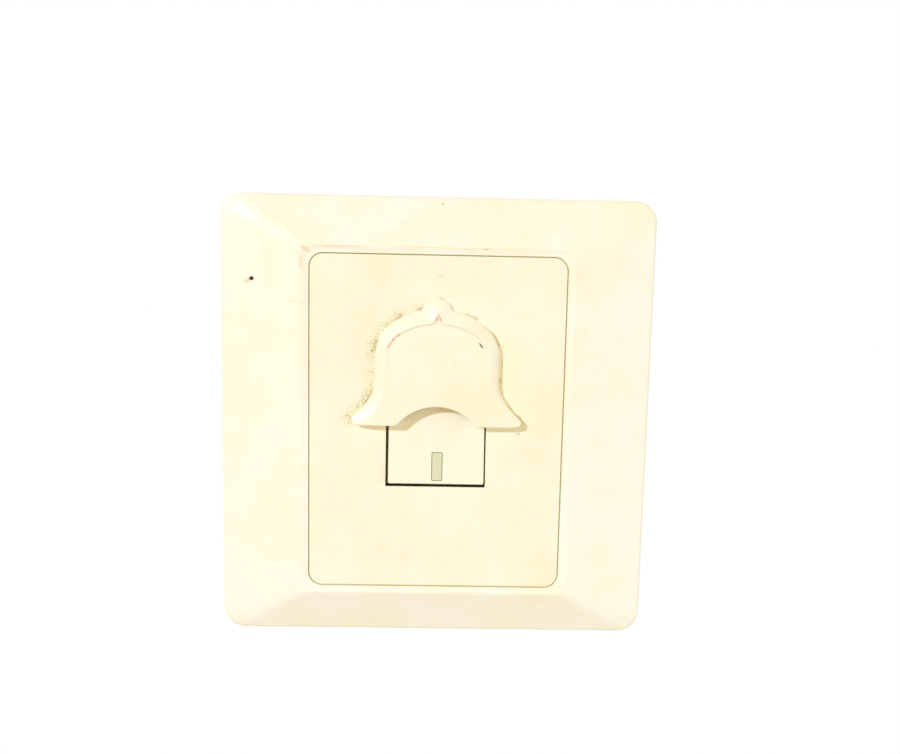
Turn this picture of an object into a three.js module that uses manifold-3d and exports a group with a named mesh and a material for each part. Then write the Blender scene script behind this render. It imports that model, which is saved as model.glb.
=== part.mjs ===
// Wall-mounted doorbell push: a square surround with sloping sides, an insert plate moulded in one
// with a bell-shaped hood, and a rocking key that closes a momentary contact in a box behind it.
// Millimetres. The model is drawn face-on (x right, y up, z out of the wall, wall surface at z = 0)
// and the finished group is turned so that +Z is up and the front faces -Y.
import * as THREE from 'three';
import { mergeVertices } from 'three/addons/utils/BufferGeometryUtils.js';
import Module from 'manifold-3d';

// Clearances
const SEAT_GAP = 0.3; // between a piece and what it rests on
const FIT_GAP = 0.2; // around the insert in the surround, and around the marker
const RUN_GAP = 0.12; // between a pin, plunger or screw and its bore
const THREAD_GAP = 0.1; // between a screw shank and its tapped hole

// Surround
const PLATE_WIDTH = 86; // one-gang wall plate
const PLATE_HEIGHT = 88.5;
const PLATE_CORNER_R = 4.3;
const RIM_HEIGHT = 2.75; // side wall, up to where the slopes start
const RIM_EDGE_R = 0.5;
const FACE_Z = 8; // front of the land and of the insert
const CREST_RISE = 0.25; // the slopes end this much above the land
const CREST_CORNER_R = 1.4;
const LAND_WIDTH = 1.25;
const SURROUND_WALL = 2;
const UNDER_DROP = 1.5; // how much lower the slopes start inside than outside
const PIN_HOLE_X = -36.5; // small hole worn or pricked into the left slope
const PIN_HOLE_Y = 27.7;
const PIN_HOLE_R = 0.42;
const PIN_HOLE_DEPTH = 0.8;

// Snap hooks of the surround, which pass through slots in the mounting plate
const HOOK_X = 31; // centre of the post
const HOOK_Y = 26;
const HOOK_WIDTH = 6;
const HOOK_THICKNESS = 1.4;
const HOOK_CATCH = 1.2; // how far the lip reaches past the post
const HOOK_LIP = 1.3; // height of the lip

// Insert plate
const INSERT_WIDTH = 49.6;
const INSERT_HEIGHT = 65.6;
const INSERT_CORNER_R = 2.6;
const INSERT_THICKNESS = 2;
const SKIRT_INSET = 1;
const SKIRT_THICKNESS = 1.5;
const TAB_Y = 20; // snap tabs that hook behind the mounting plate
const TAB_WIDTH = 6;
const TAB_THICKNESS = 1.4;

// Bell hood, half sizes measured from its own middle line
const HOOD_HEIGHT = 2.8; // above the insert's face
const HOOD_EDGE_R = 0.72; // rounding of the outer edge
const HOOD_WAIST = 12;
const HOOD_WAIST_Y = 9;
const HOOD_CROWN_Y = 13.6; // where the straight waist turns into the crown
const HOOD_CROWN_RISE = 8.9;
const HOOD_TIP = 16.5;
const HOOD_TIP_R = 0.8;
const KNOB_HALF = 2.3;
const KNOB_Y = 23.1; // widest part of the knob
const KNOB_RISE = 1.35;
const SHOULDER_X = 4.3; // where the crown turns into the concave shoulder of the knob
const BAND_WIDTH = 2.1; // raised band along the outline
const BAND_CROWN_RISE = 6.4;
const BAND_NOTCH_HALF = 1.2;
const BAND_NOTCH_RISE = 1.7; // pointed notch of the sunk panel under the knob
const FLARE_LOW_X = 0.5; // the flare's two control points, as shares of its width and height
const FLARE_LOW_Y = 0.26;
const FLARE_HIGH_Y = 0.53;
const SHOULDER_PULL_X = 0.4; // how far the concave shoulder is drawn towards the knob
const SHOULDER_PULL_Y = 0.2;
const PANEL_SPREAD = 0.75; // how much of the flare the sunk panel takes at its lower end
const PANEL_LOW_PULL = 1.15; // control points of the panel's flare
const PANEL_LOW_Y = 2;
const PANEL_HIGH_PULL = 0.05;
const PANEL_HIGH_Y = 4.6;
const NOTCH_PULL = 0.3; // how concave the sides of the notch are
const PANEL_DEPTH = 0.45; // depth of the sunk panel at the crown
const PANEL_FLUSH_Y = 6; // below this the panel is level with the band
const ARCH_HALF = 7.73; // arch in the lower edge, over the key
const ARCH_RISE = 3.84;
const HOOD_WALL = 1.6;

// Key
const KEY_WIDTH = 18.8;
const KEY_SHIFT = 0.12; // the key sits a little to the right in its opening
const KEY_SIDE_GAP = 0.4;
const KEY_LOW_Y = -11.85;
const KEY_HIGH_Y = 6.8;
const KEY_LOW_GAP = 0.65;
const KEY_HIGH_GAP = 0.25;
const KEY_FLUSH_Y = -1; // the key's face crosses the insert's face here
const KEY_PROUD = 0.8; // how far the lower edge stands out
const KEY_FACE = 1.9;
const KEY_SKIRT = 1.2;
const KEY_EDGE_R = 0.4;
const KEY_FRONT_SKIRT_Z = 4.4;
const REAR_SKIRT_REACH = 3; // below the pivot, the skirt keeps its full depth this far
const FRONT_SKIRT_REACH = 9; // and from here down it is shallow
const PIVOT_Y = 4.5;
const PIVOT_Z = 4.4;
const PIVOT_R = 1.2;
const PIVOT_LENGTH = 2.3; // how far each pin stands out from the key
const PIVOT_BOSS = 1.5; // from the pin's middle to the lower edge of the skirt
const EAR_THICKNESS = 2.6;
const EAR_HALF_HEIGHT = 2.7;
const STOP_X = 6;
const STOP_WIDTH = 4;
const STOP_REACH = 1.2;
const STOP_THICKNESS = 0.8;

// Glow marker let into the key
const MARKER_WIDTH = 1.95;
const MARKER_HEIGHT = 5.5;
const MARKER_THICKNESS = 0.9;
const MARKER_X = 0.3;
const MARKER_Y = -8.3;
const MARKER_CORNER_R = 0.3;
const MARKER_EDGE_GAP = 0.1;

// Mounting plate
const MOUNTING_CORNER_R = 3;
const MOUNTING_THICKNESS = 2.2;
const WINDOW_WIDTH = 42; // opening for the box of the mechanism
const WINDOW_HEIGHT = 56;
const WINDOW_CORNER_R = 2;
const FIXING_PITCH = 60.3; // between the two wall-box screws
const FIXING_R = 1.75;
const FIXING_LENGTH = 20; // under the head
const FIXING_HEAD_R = 3.2;
const FIXING_HEAD = 1.6;
const FIXING_SLOT_LENGTH = 3.4; // straight part of the adjustment slot
const FIXING_SINK = 1; // depth of the recess under the head
const DRIVE_SLOT = 0.9; // screwdriver slots
const DRIVE_DEPTH = 0.7;

// Mechanism box
const BOX_WIDTH = 34;
const BOX_HEIGHT = 44;
const BOX_CORNER_R = 2;
const BOX_WALL = 1.6;
const BOX_FLOOR = 1.8;
const BOX_DEPTH = 16.3;
const COVER_FRONT_Z = 2.2;
const COVER_THICKNESS = 1.6;
const BOX_SCREW_INSET = 4; // from the sides of the box to its screws
const BOX_SCREW_R = 1.45;
const BOX_SCREW_HEAD_R = 2.6;
const BOX_SCREW_HEAD = 1.6;
const BOX_SCREW_SINK = 3.2; // depth of the recess for the head, from the back
const BOX_SCREW_BITE = 2.6; // how far the screw goes into its boss
const BOSS_R = 3;
const COLUMN_R = 3.8;

// Plunger and its spring
const PLUNGER_Y = -7.5;
const PRESS_DEGREES = 6; // how far the key rocks when it is pressed
const RIB_Z = 4; // lower end of the key's push rib
const RIB_R = 1.5;
const PLUNGER_HEAD_R = 2.5;
const PLUNGER_CHAMFER = 0.3;
const FLANGE_R = 4;
const FLANGE_THICKNESS = 1.2;
const STEM_R = 1.5;
const STEM_BITE = 0.4; // how far the stem reaches into its guide at rest
const SPRING_SEAT_Z = -12.6;
const SPRING_SEAT_R = 4;
const SPRING_R = 2.5; // to the middle of the wire
const SPRING_WIRE_R = 0.25;
const SPRING_TURNS = 7.5;

// Contacts and terminals
const CONTACT_X = 8.75;
const BRIDGE_LENGTH = 22;
const BRIDGE_WIDTH = 6;
const BRIDGE_THICKNESS = 0.8;
const TIP_R = 1.6;
const TIP_THICKNESS = 0.5;
const CONTACT_GAP = 0.05; // left between the tips when the key is fully pressed
const STRIP_WIDTH = 5;
const STRIP_THICKNESS = 0.8;
const TERMINAL_INSET = 9.5; // from the top of the box to the middle of the terminals
const TERMINAL_WIDTH = 8;
const TERMINAL_HEIGHT = 9;
const WIRE_R = 1.7;
const WIRE_DEPTH = 3.2; // from the block's front to the middle of the wire hole
const CLAMP_R = 1.65;
const CLAMP_HEAD_R = 2.9;
const CLAMP_HEAD = 1.5;
const HOLD_DOWN_R = 1.5;
const HOLD_DOWN_Y = 2;
const SHELF_THICKNESS = 1.4;
const SHELF_Y = -9.6;
const BARRIER_THICKNESS = 1.2;

// Fineness of round stretches
const CORNER_STEPS = 6;
const ROUND_STEPS = 24;
const CURVE_STEPS = 8;
const EDGE_STEPS = 3;
const RECTANGLE_STEPS = 3;
const SPRING_STEPS = 12; // per turn
const SPRING_SIDES = 3; // for each half of the wire's section
const THROUGH = 1; // how far a cutting tool runs past a face
const MERGE_DISTANCE = 1e-5; // corners of a mesh closer than this are one
const STEP_DISTANCE = 1e-4; // points of an outline closer than this are one

// Values that follow from the sizes above
const insertUnderZ = FACE_Z - INSERT_THICKNESS;
const openingWidth = INSERT_WIDTH + 2 * FIT_GAP;
const openingHeight = INSERT_HEIGHT + 2 * FIT_GAP;
const openingCornerR = INSERT_CORNER_R + FIT_GAP;
const crestWidth = openingWidth + 2 * LAND_WIDTH;
const crestHeight = openingHeight + 2 * LAND_WIDTH;
const crestZ = FACE_Z + CREST_RISE;
const slopeRun = (PLATE_WIDTH - crestWidth) / 2 - RIM_EDGE_R;
const slopeFall = (crestZ - RIM_HEIGHT) / slopeRun;
const innerWidth = PLATE_WIDTH - 2 * SURROUND_WALL;
const innerHeight = PLATE_HEIGHT - 2 * SURROUND_WALL;
const underRimZ = RIM_HEIGHT - UNDER_DROP;
const underCrestZ = crestZ - SURROUND_WALL;
const mountingInset = (MOUNTING_THICKNESS + 2 * SEAT_GAP - underRimZ) / (underCrestZ - underRimZ);
const mountingWidth = innerWidth - mountingInset * (innerWidth - crestWidth);
const mountingHeight = innerHeight - mountingInset * (innerHeight - crestHeight);
const skirtWidth = INSERT_WIDTH - 2 * SKIRT_INSET;
const skirtHeight = INSERT_HEIGHT - 2 * SKIRT_INSET;
const skirtEndZ = MOUNTING_THICKNESS + SEAT_GAP;
const hoodTopZ = FACE_Z + HOOD_HEIGHT;
const hoodRoofZ = hoodTopZ - HOOD_WALL;
const hoodEndY = KNOB_Y + KNOB_RISE + THROUGH;
const panelFall = PANEL_DEPTH / (HOOD_CROWN_Y + BAND_CROWN_RISE - PANEL_FLUSH_Y);
const keyTilt = KEY_PROUD / (KEY_FLUSH_Y - KEY_LOW_Y);
const keyLeft = KEY_SHIFT - KEY_WIDTH / 2;
const keyRight = KEY_SHIFT + KEY_WIDTH / 2;
const slotHalf = KEY_WIDTH / 2 + KEY_SIDE_GAP;
const slotLowY = KEY_LOW_Y - KEY_LOW_GAP;
const slotHighY = KEY_HIGH_Y + KEY_HIGH_GAP;
const slotTopZ = FACE_Z + SEAT_GAP;
const coverRearZ = COVER_FRONT_Z - COVER_THICKNESS;
const boxFrontZ = coverRearZ - SEAT_GAP;
const boxRearZ = boxFrontZ - BOX_DEPTH;
const boxFloorZ = boxRearZ + BOX_FLOOR;
const boxScrewX = BOX_WIDTH / 2 - BOX_SCREW_INSET;
const boxScrewY = BOX_HEIGHT / 2 - BOX_SCREW_INSET;
const terminalY = BOX_HEIGHT / 2 - TERMINAL_INSET;
const bossEndZ = COVER_FRONT_Z + SEAT_GAP;
const plungerTopZ = RIB_Z - SEAT_GAP;
const pressAngle = THREE.MathUtils.degToRad(PRESS_DEGREES);
const plungerTravel = (PIVOT_Y - PLUNGER_Y) * pressAngle;
const flangeTopZ = coverRearZ - SEAT_GAP;
const flangeLowZ = flangeTopZ - FLANGE_THICKNESS;
const bridgeTopZ = flangeLowZ - SEAT_GAP;
const bridgeLowZ = bridgeTopZ - BRIDGE_THICKNESS;
const movingTipTopZ = bridgeLowZ - SEAT_GAP;
const movingTipLowZ = movingTipTopZ - TIP_THICKNESS;
const fixedTipTopZ = movingTipLowZ - plungerTravel - CONTACT_GAP;
const fixedTipLowZ = fixedTipTopZ - TIP_THICKNESS;
const stripTopZ = fixedTipLowZ - SEAT_GAP;
const stripLowZ = stripTopZ - STRIP_THICKNESS;
const blockTopZ = stripLowZ - SEAT_GAP;
const blockLowZ = boxFloorZ + SEAT_GAP;
const wireZ = blockTopZ - WIRE_DEPTH;
const springTopZ = bridgeLowZ - SEAT_GAP;
const springLowZ = SPRING_SEAT_Z + SEAT_GAP;

// The front surface of the side slopes at a distance x from the middle
function slopeZ(x) {
  return crestZ - (Math.abs(x) - crestWidth / 2) * slopeFall;
}

// The front surface of the key at height y
function keyFaceZ(y) {
  return FACE_Z + (KEY_FLUSH_Y - y) * keyTilt;
}

// The floor of the hood's sunk panel at height y
function panelZ(y) {
  return hoodTopZ - (y - PANEL_FLUSH_Y) * panelFall;
}

// Booleans on closed shapes
const wasm = await Module();
wasm.setup();

function solid(geometry) {
  const bare = geometry.clone();
  bare.deleteAttribute('normal');
  bare.deleteAttribute('uv');
  const merged = mergeVertices(bare, MERGE_DISTANCE);
  const corners = merged.index.array;
  const kept = [];
  for (let i = 0; i < corners.length; i += 3) {
    const [a, b, c] = [corners[i], corners[i + 1], corners[i + 2]];
    if (a !== b && b !== c && c !== a) kept.push(a, b, c);
  }
  return new wasm.Manifold(new wasm.Mesh({
    numProp: 3,
    vertProperties: merged.attributes.position.array,
    triVerts: new Uint32Array(kept),
  }));
}

function join(...bodies) {
  return bodies.reduce((whole, body) => whole.add(body));
}

function cut(body, ...tools) {
  return tools.reduce((rest, tool) => rest.subtract(tool), body);
}

function geometryOf(body) {
  const mesh = body.getMesh();
  const geometry = new THREE.BufferGeometry();
  geometry.setAttribute('position', new THREE.BufferAttribute(new Float32Array(mesh.vertProperties), 3));
  geometry.setIndex(new THREE.BufferAttribute(new Uint32Array(mesh.triVerts), 1));
  geometry.computeVertexNormals();
  return geometry;
}

// Basic shapes
function block(x0, x1, y0, y1, z0, z1) {
  const geometry = new THREE.BoxGeometry(x1 - x0, y1 - y0, z1 - z0);
  return solid(geometry.translate((x0 + x1) / 2, (y0 + y1) / 2, (z0 + z1) / 2));
}

function post(x, y, radius, z0, z1) {
  const geometry = new THREE.CylinderGeometry(radius, radius, z1 - z0, ROUND_STEPS);
  return solid(geometry.rotateX(Math.PI / 2).translate(x, y, (z0 + z1) / 2));
}

function prism(shape, z0, z1, curveSegments = CURVE_STEPS) {
  const geometry = new THREE.ExtrudeGeometry(shape, {
    depth: z1 - z0,
    bevelEnabled: false,
    curveSegments,
  });
  return solid(geometry.translate(0, 0, z0));
}

function roundedPlate(width, height, radius, z0, z1) {
  return prism(roundedRectangle(width, height, radius), z0, z1, RECTANGLE_STEPS);
}

// A profile drawn with its first coordinate along y and its second along z, run along x
function sideProfile(points, x0, x1) {
  const shape = new THREE.Shape(points.map(([y, z]) => new THREE.Vector2(y, z)));
  const geometry = new THREE.ExtrudeGeometry(shape, { depth: x1 - x0, bevelEnabled: false });
  const axes = new THREE.Matrix4().makeBasis(
    new THREE.Vector3(0, 1, 0),
    new THREE.Vector3(0, 0, 1),
    new THREE.Vector3(1, 0, 0),
  );
  return solid(geometry.applyMatrix4(axes).translate(x0, 0, 0));
}

function rodAlongX(y, z, radius, x0, x1) {
  const geometry = new THREE.CylinderGeometry(radius, radius, x1 - x0, ROUND_STEPS);
  return solid(geometry.rotateZ(Math.PI / 2).translate((x0 + x1) / 2, y, z));
}

function rodAlongY(x, z, radius, y0, y1) {
  const geometry = new THREE.CylinderGeometry(radius, radius, y1 - y0, ROUND_STEPS);
  return solid(geometry.translate(x, (y0 + y1) / 2, z));
}

// The same outline as straight steps, without points that lie on each other
function stepped(shape) {
  const points = shape.getPoints(CURVE_STEPS);
  const kept = points.filter((point, i) => {
    const before = points[(i + points.length - 1) % points.length];
    return point.distanceTo(before) > STEP_DISTANCE;
  });
  return new THREE.Shape(kept);
}

function roundedRectangle(width, height, radius) {
  const [x, y] = [width / 2, height / 2];
  const shape = new THREE.Shape();
  shape.absarc(x - radius, y - radius, radius, 0, Math.PI / 2);
  shape.absarc(radius - x, y - radius, radius, Math.PI / 2, Math.PI);
  shape.absarc(radius - x, radius - y, radius, Math.PI, 1.5 * Math.PI);
  shape.absarc(x - radius, radius - y, radius, 1.5 * Math.PI, 2 * Math.PI);
  return shape;
}

// A slot with round ends, long in y
function slot(x, y, radius, straight, z0, z1) {
  return join(
    post(x, y - straight / 2, radius, z0, z1),
    post(x, y + straight / 2, radius, z0, z1),
    block(x - radius, x + radius, y - straight / 2, y + straight / 2, z0, z1),
  );
}

// One level of the surround: a rectangle with round corners, counter-clockwise
function ring(width, height, radius, z) {
  const points = [];
  for (let corner = 0; corner < 4; corner += 1) {
    const sideX = corner === 0 || corner === 3 ? 1 : -1;
    const sideY = corner < 2 ? 1 : -1;
    for (let step = 0; step <= CORNER_STEPS; step += 1) {
      const angle = (corner + step / CORNER_STEPS) * Math.PI / 2;
      points.push([
        sideX * (width / 2 - radius) + radius * Math.cos(angle),
        sideY * (height / 2 - radius) + radius * Math.sin(angle),
        z,
      ]);
    }
  }
  return points;
}

// Joins the levels one after another, and the last to the first
function loft(rings) {
  const size = rings[0].length;
  const index = [];
  rings.forEach((level, i) => {
    const here = i * size;
    const next = ((i + 1) % rings.length) * size;
    level.forEach((point, j) => {
      const k = (j + 1) % size;
      index.push(here + j, here + k, next + k, here + j, next + k, next + j);
    });
  });
  const geometry = new THREE.BufferGeometry();
  geometry.setAttribute('position', new THREE.Float32BufferAttribute(rings.flat(2), 3));
  geometry.setIndex(index);
  return solid(geometry);
}

// A quarter circle of radius 1 in even steps, from level to upright
function quarterCircle() {
  const steps = Array.from({ length: EDGE_STEPS + 1 }, (unused, step) => step / EDGE_STEPS);
  return steps.map((share) => ({
    across: Math.cos(share * Math.PI / 2),
    up: Math.sin(share * Math.PI / 2),
  }));
}

// Both sides of something that is mirrored left to right
function bothSides(make) {
  return [-1, 1].map(make);
}

const part = new THREE.Group();
part.name = 'doorbell_push';

function addPiece(name, body, finish) {
  const material = new THREE.MeshStandardMaterial(finish);
  const mesh = new THREE.Mesh(geometryOf(body), material);
  mesh.name = name;
  part.add(mesh);
}

const IVORY = { color: 0xfffbe9, roughness: 0.4, metalness: 0 };
const IVORY_DEEP = { color: 0xfff9dc, roughness: 0.4, metalness: 0 };
const CARRIER_GREY = { color: 0xd9d4c4, roughness: 0.6, metalness: 0 };
const MARKER_GREEN = { color: 0xe2dfb4, roughness: 0.3, metalness: 0 };
const BRASS = { color: 0xc9a659, roughness: 0.35, metalness: 1 };
const STEEL = { color: 0xb9b9b4, roughness: 0.35, metalness: 1 };
const SILVER = { color: 0xd6d6d2, roughness: 0.3, metalness: 1 };

// Surround frame: side wall, four slopes that meet in mitres, crest, land, and the same again inside
function surroundFrame() {
  const innerCornerR = PLATE_CORNER_R - SURROUND_WALL;
  const quarter = quarterCircle();
  const rimEdge = quarter.map(({ across, up }) => {
    const inset = RIM_EDGE_R * (1 - across);
    const z = RIM_HEIGHT - RIM_EDGE_R * (1 - up);
    return ring(PLATE_WIDTH - 2 * inset, PLATE_HEIGHT - 2 * inset, PLATE_CORNER_R - inset, z);
  });
  const crestEdge = quarter.reverse().map(({ across, up }) => {
    const inset = CREST_RISE * across;
    const z = FACE_Z + CREST_RISE * up;
    return ring(crestWidth - 2 * inset, crestHeight - 2 * inset, CREST_CORNER_R, z);
  });
  const shell = loft([
    ring(PLATE_WIDTH, PLATE_HEIGHT, PLATE_CORNER_R, 0),
    ...rimEdge,
    ...crestEdge,
    ring(openingWidth, openingHeight, openingCornerR, FACE_Z),
    ring(openingWidth, openingHeight, openingCornerR, underCrestZ),
    ring(crestWidth, crestHeight, openingCornerR, underCrestZ),
    ring(innerWidth, innerHeight, innerCornerR, underRimZ),
    ring(innerWidth, innerHeight, innerCornerR, 0),
  ]);
  const hooks = bothSides((side) => bothSides((level) => surroundHook(side, level))).flat();
  const holeFloorZ = slopeZ(PIN_HOLE_X) - PIN_HOLE_DEPTH;
  const pinHole = post(PIN_HOLE_X, PIN_HOLE_Y, PIN_HOLE_R, holeFloorZ, FACE_Z);
  return cut(join(shell, ...hooks), pinHole);
}

// A sprung post with a lip behind the mounting plate
function surroundHook(side, level) {
  const inner = HOOK_X - HOOK_THICKNESS / 2;
  const outer = HOOK_X + HOOK_THICKNESS / 2;
  const y0 = level * HOOK_Y - HOOK_WIDTH / 2;
  const y1 = level * HOOK_Y + HOOK_WIDTH / 2;
  const rootZ = slopeZ(outer) - SURROUND_WALL / 2;
  const lipTopZ = -SEAT_GAP;
  const lipLowZ = lipTopZ - HOOK_LIP;
  const [postX0, postX1] = [side * inner, side * outer].sort((a, b) => a - b);
  const [lipX0, lipX1] = [side * inner, side * (outer + HOOK_CATCH)].sort((a, b) => a - b);
  return join(
    block(postX0, postX1, y0, y1, lipLowZ, rootZ),
    block(lipX0, lipX1, y0, y1, lipLowZ, lipTopZ),
  );
}

// Outline of the bell: tips, flared skirt, straight waist, crown, concave shoulders and knob
function bellOutline() {
  const shape = new THREE.Shape();
  const crownEnd = Math.acos(SHOULDER_X / HOOD_WAIST);
  const shoulderY = HOOD_CROWN_Y + HOOD_CROWN_RISE * Math.sin(crownEnd);
  const tipX = HOOD_TIP - HOOD_TIP_R;
  const flareX = tipX + HOOD_TIP_R * Math.SQRT1_2;
  const flareY = HOOD_TIP_R + HOOD_TIP_R * Math.SQRT1_2;
  const flareWidth = flareX - HOOD_WAIST;
  const flareHeight = HOOD_WAIST_Y - flareY;
  const lower = { x: flareX - FLARE_LOW_X * flareWidth, y: flareY + FLARE_LOW_Y * flareHeight };
  const upper = { x: HOOD_WAIST, y: flareY + FLARE_HIGH_Y * flareHeight };
  const shoulder = { x: KNOB_HALF + SHOULDER_PULL_X, y: shoulderY + SHOULDER_PULL_Y };
  shape.absarc(tipX, HOOD_TIP_R, HOOD_TIP_R, -Math.PI / 2, Math.PI / 4);
  shape.bezierCurveTo(lower.x, lower.y, upper.x, upper.y, HOOD_WAIST, HOOD_WAIST_Y);
  shape.absellipse(0, HOOD_CROWN_Y, HOOD_WAIST, HOOD_CROWN_RISE, 0, crownEnd);
  shape.quadraticCurveTo(shoulder.x, shoulder.y, KNOB_HALF, KNOB_Y);
  shape.absellipse(0, KNOB_Y, KNOB_HALF, KNOB_RISE, 0, Math.PI);
  shape.quadraticCurveTo(-shoulder.x, shoulder.y, -SHOULDER_X, shoulderY);
  shape.absellipse(0, HOOD_CROWN_Y, HOOD_WAIST, HOOD_CROWN_RISE, Math.PI - crownEnd, Math.PI);
  shape.lineTo(-HOOD_WAIST, HOOD_WAIST_Y);
  shape.bezierCurveTo(-upper.x, upper.y, -lower.x, lower.y, -flareX, flareY);
  shape.absarc(-tipX, HOOD_TIP_R, HOOD_TIP_R, 0.75 * Math.PI, 1.5 * Math.PI);
  return shape;
}

// Outline of the sunk panel inside the band, with its pointed notch under the knob
function panelOutline() {
  const shape = new THREE.Shape();
  const half = HOOD_WAIST - BAND_WIDTH;
  const low = half + PANEL_SPREAD * (HOOD_TIP - HOOD_WAIST);
  const lower = low - PANEL_LOW_PULL;
  const upper = half + PANEL_HIGH_PULL;
  const notchStart = Math.acos(BAND_NOTCH_HALF / half);
  const notchY = HOOD_CROWN_Y + BAND_CROWN_RISE * Math.sin(notchStart);
  const notchSide = { x: BAND_NOTCH_HALF / 2, y: notchY + NOTCH_PULL };
  shape.moveTo(-low, -THROUGH);
  shape.lineTo(low, -THROUGH);
  shape.lineTo(low, 0);
  shape.bezierCurveTo(lower, PANEL_LOW_Y, upper, PANEL_HIGH_Y, half, HOOD_WAIST_Y);
  shape.lineTo(half, HOOD_CROWN_Y);
  shape.absellipse(0, HOOD_CROWN_Y, half, BAND_CROWN_RISE, 0, notchStart);
  shape.quadraticCurveTo(notchSide.x, notchSide.y, 0, notchY + BAND_NOTCH_RISE);
  shape.quadraticCurveTo(-notchSide.x, notchSide.y, -BAND_NOTCH_HALF, notchY);
  shape.absellipse(0, HOOD_CROWN_Y, half, BAND_CROWN_RISE, Math.PI - notchStart, Math.PI);
  shape.lineTo(-half, HOOD_WAIST_Y);
  shape.bezierCurveTo(-upper, PANEL_HIGH_Y, -lower, PANEL_LOW_Y, -low, 0);
  shape.lineTo(-low, -THROUGH);
  return shape;
}

// The hood: a rounded block on the insert with a sunk panel and an arch over the key
function bellHood() {
  const bevel = new THREE.ExtrudeGeometry(stepped(bellOutline()), {
    depth: HOOD_HEIGHT + INSERT_THICKNESS / 2 - HOOD_EDGE_R,
    bevelEnabled: true,
    bevelThickness: HOOD_EDGE_R,
    bevelSize: HOOD_EDGE_R,
    bevelOffset: -HOOD_EDGE_R,
    bevelSegments: EDGE_STEPS,
  });
  const body = solid(bevel.translate(0, 0, FACE_Z - INSERT_THICKNESS / 2));
  const behind = block(-HOOD_TIP, HOOD_TIP, -THROUGH, hoodEndY, 0, FACE_Z - INSERT_THICKNESS / 2);
  const abovePanel = sideProfile([
    [PANEL_FLUSH_Y, hoodTopZ],
    [hoodEndY, panelZ(hoodEndY)],
    [hoodEndY, hoodTopZ + THROUGH],
    [PANEL_FLUSH_Y, hoodTopZ + THROUGH],
  ], -HOOD_TIP, HOOD_TIP);
  const panel = prism(panelOutline(), FACE_Z, hoodTopZ + THROUGH).intersect(abovePanel);
  const archR = (ARCH_HALF ** 2 + ARCH_RISE ** 2) / (2 * ARCH_RISE);
  const arch = post(0, ARCH_RISE - archR, archR, FACE_Z, hoodTopZ + THROUGH);
  return cut(body, behind, panel, arch);
}

// Hollow of the hood, open to the back
function hoodHollow() {
  const half = HOOD_WAIST - HOOD_WALL;
  const shape = new THREE.Shape();
  shape.moveTo(-half, HOOD_WAIST_Y);
  shape.lineTo(half, HOOD_WAIST_Y);
  shape.absellipse(0, HOOD_CROWN_Y, half, HOOD_CROWN_RISE - HOOD_WALL, 0, Math.PI);
  shape.lineTo(-half, HOOD_WAIST_Y);
  return join(
    prism(shape, insertUnderZ - THROUGH, hoodRoofZ),
    block(-slotHalf, slotHalf, HOOD_WALL, HOOD_WAIST_Y + HOOD_WALL, insertUnderZ - THROUGH, hoodRoofZ),
  );
}

// Ear with a socket, open to the back, for one pin of the key
function pivotEar(side) {
  const [x0, x1] = [side * slotHalf, side * (slotHalf + EAR_THICKNESS)].sort((a, b) => a - b);
  const socketR = PIVOT_R + RUN_GAP;
  const ear = block(
    x0, x1, PIVOT_Y - EAR_HALF_HEIGHT, PIVOT_Y + EAR_HALF_HEIGHT,
    COVER_FRONT_Z + SEAT_GAP, insertUnderZ + INSERT_THICKNESS / 2,
  );
  return cut(
    ear,
    rodAlongX(PIVOT_Y, PIVOT_Z, socketR, x0 - THROUGH, x1 + THROUGH),
    block(x0 - THROUGH, x1 + THROUGH, PIVOT_Y - socketR, PIVOT_Y + socketR, 0, PIVOT_Z),
  );
}

// Snap tab that hooks behind the edge of the mounting plate's window
function insertTab(side, level) {
  const outer = WINDOW_WIDTH / 2 - SEAT_GAP;
  const inner = outer - TAB_THICKNESS;
  const y0 = level * TAB_Y - TAB_WIDTH / 2;
  const y1 = level * TAB_Y + TAB_WIDTH / 2;
  const lipTopZ = -SEAT_GAP;
  const lipLowZ = lipTopZ - HOOK_LIP;
  const [postX0, postX1] = [side * inner, side * outer].sort((a, b) => a - b);
  const [lipX0, lipX1] = [side * inner, side * (outer + HOOK_CATCH)].sort((a, b) => a - b);
  return join(
    block(postX0, postX1, y0, y1, lipLowZ, insertUnderZ + INSERT_THICKNESS / 2),
    block(lipX0, lipX1, y0, y1, lipLowZ, lipTopZ),
  );
}

// Places of the three screws that hold the mechanism box to the insert
const boxScrews = [
  { name: 'upper', x: 0, y: boxScrewY, rootZ: hoodRoofZ + HOOD_WALL / 4 },
  { name: 'lower_left', x: -boxScrewX, y: -boxScrewY, rootZ: insertUnderZ + INSERT_THICKNESS / 2 },
  { name: 'lower_right', x: boxScrewX, y: -boxScrewY, rootZ: insertUnderZ + INSERT_THICKNESS / 2 },
];

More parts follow.
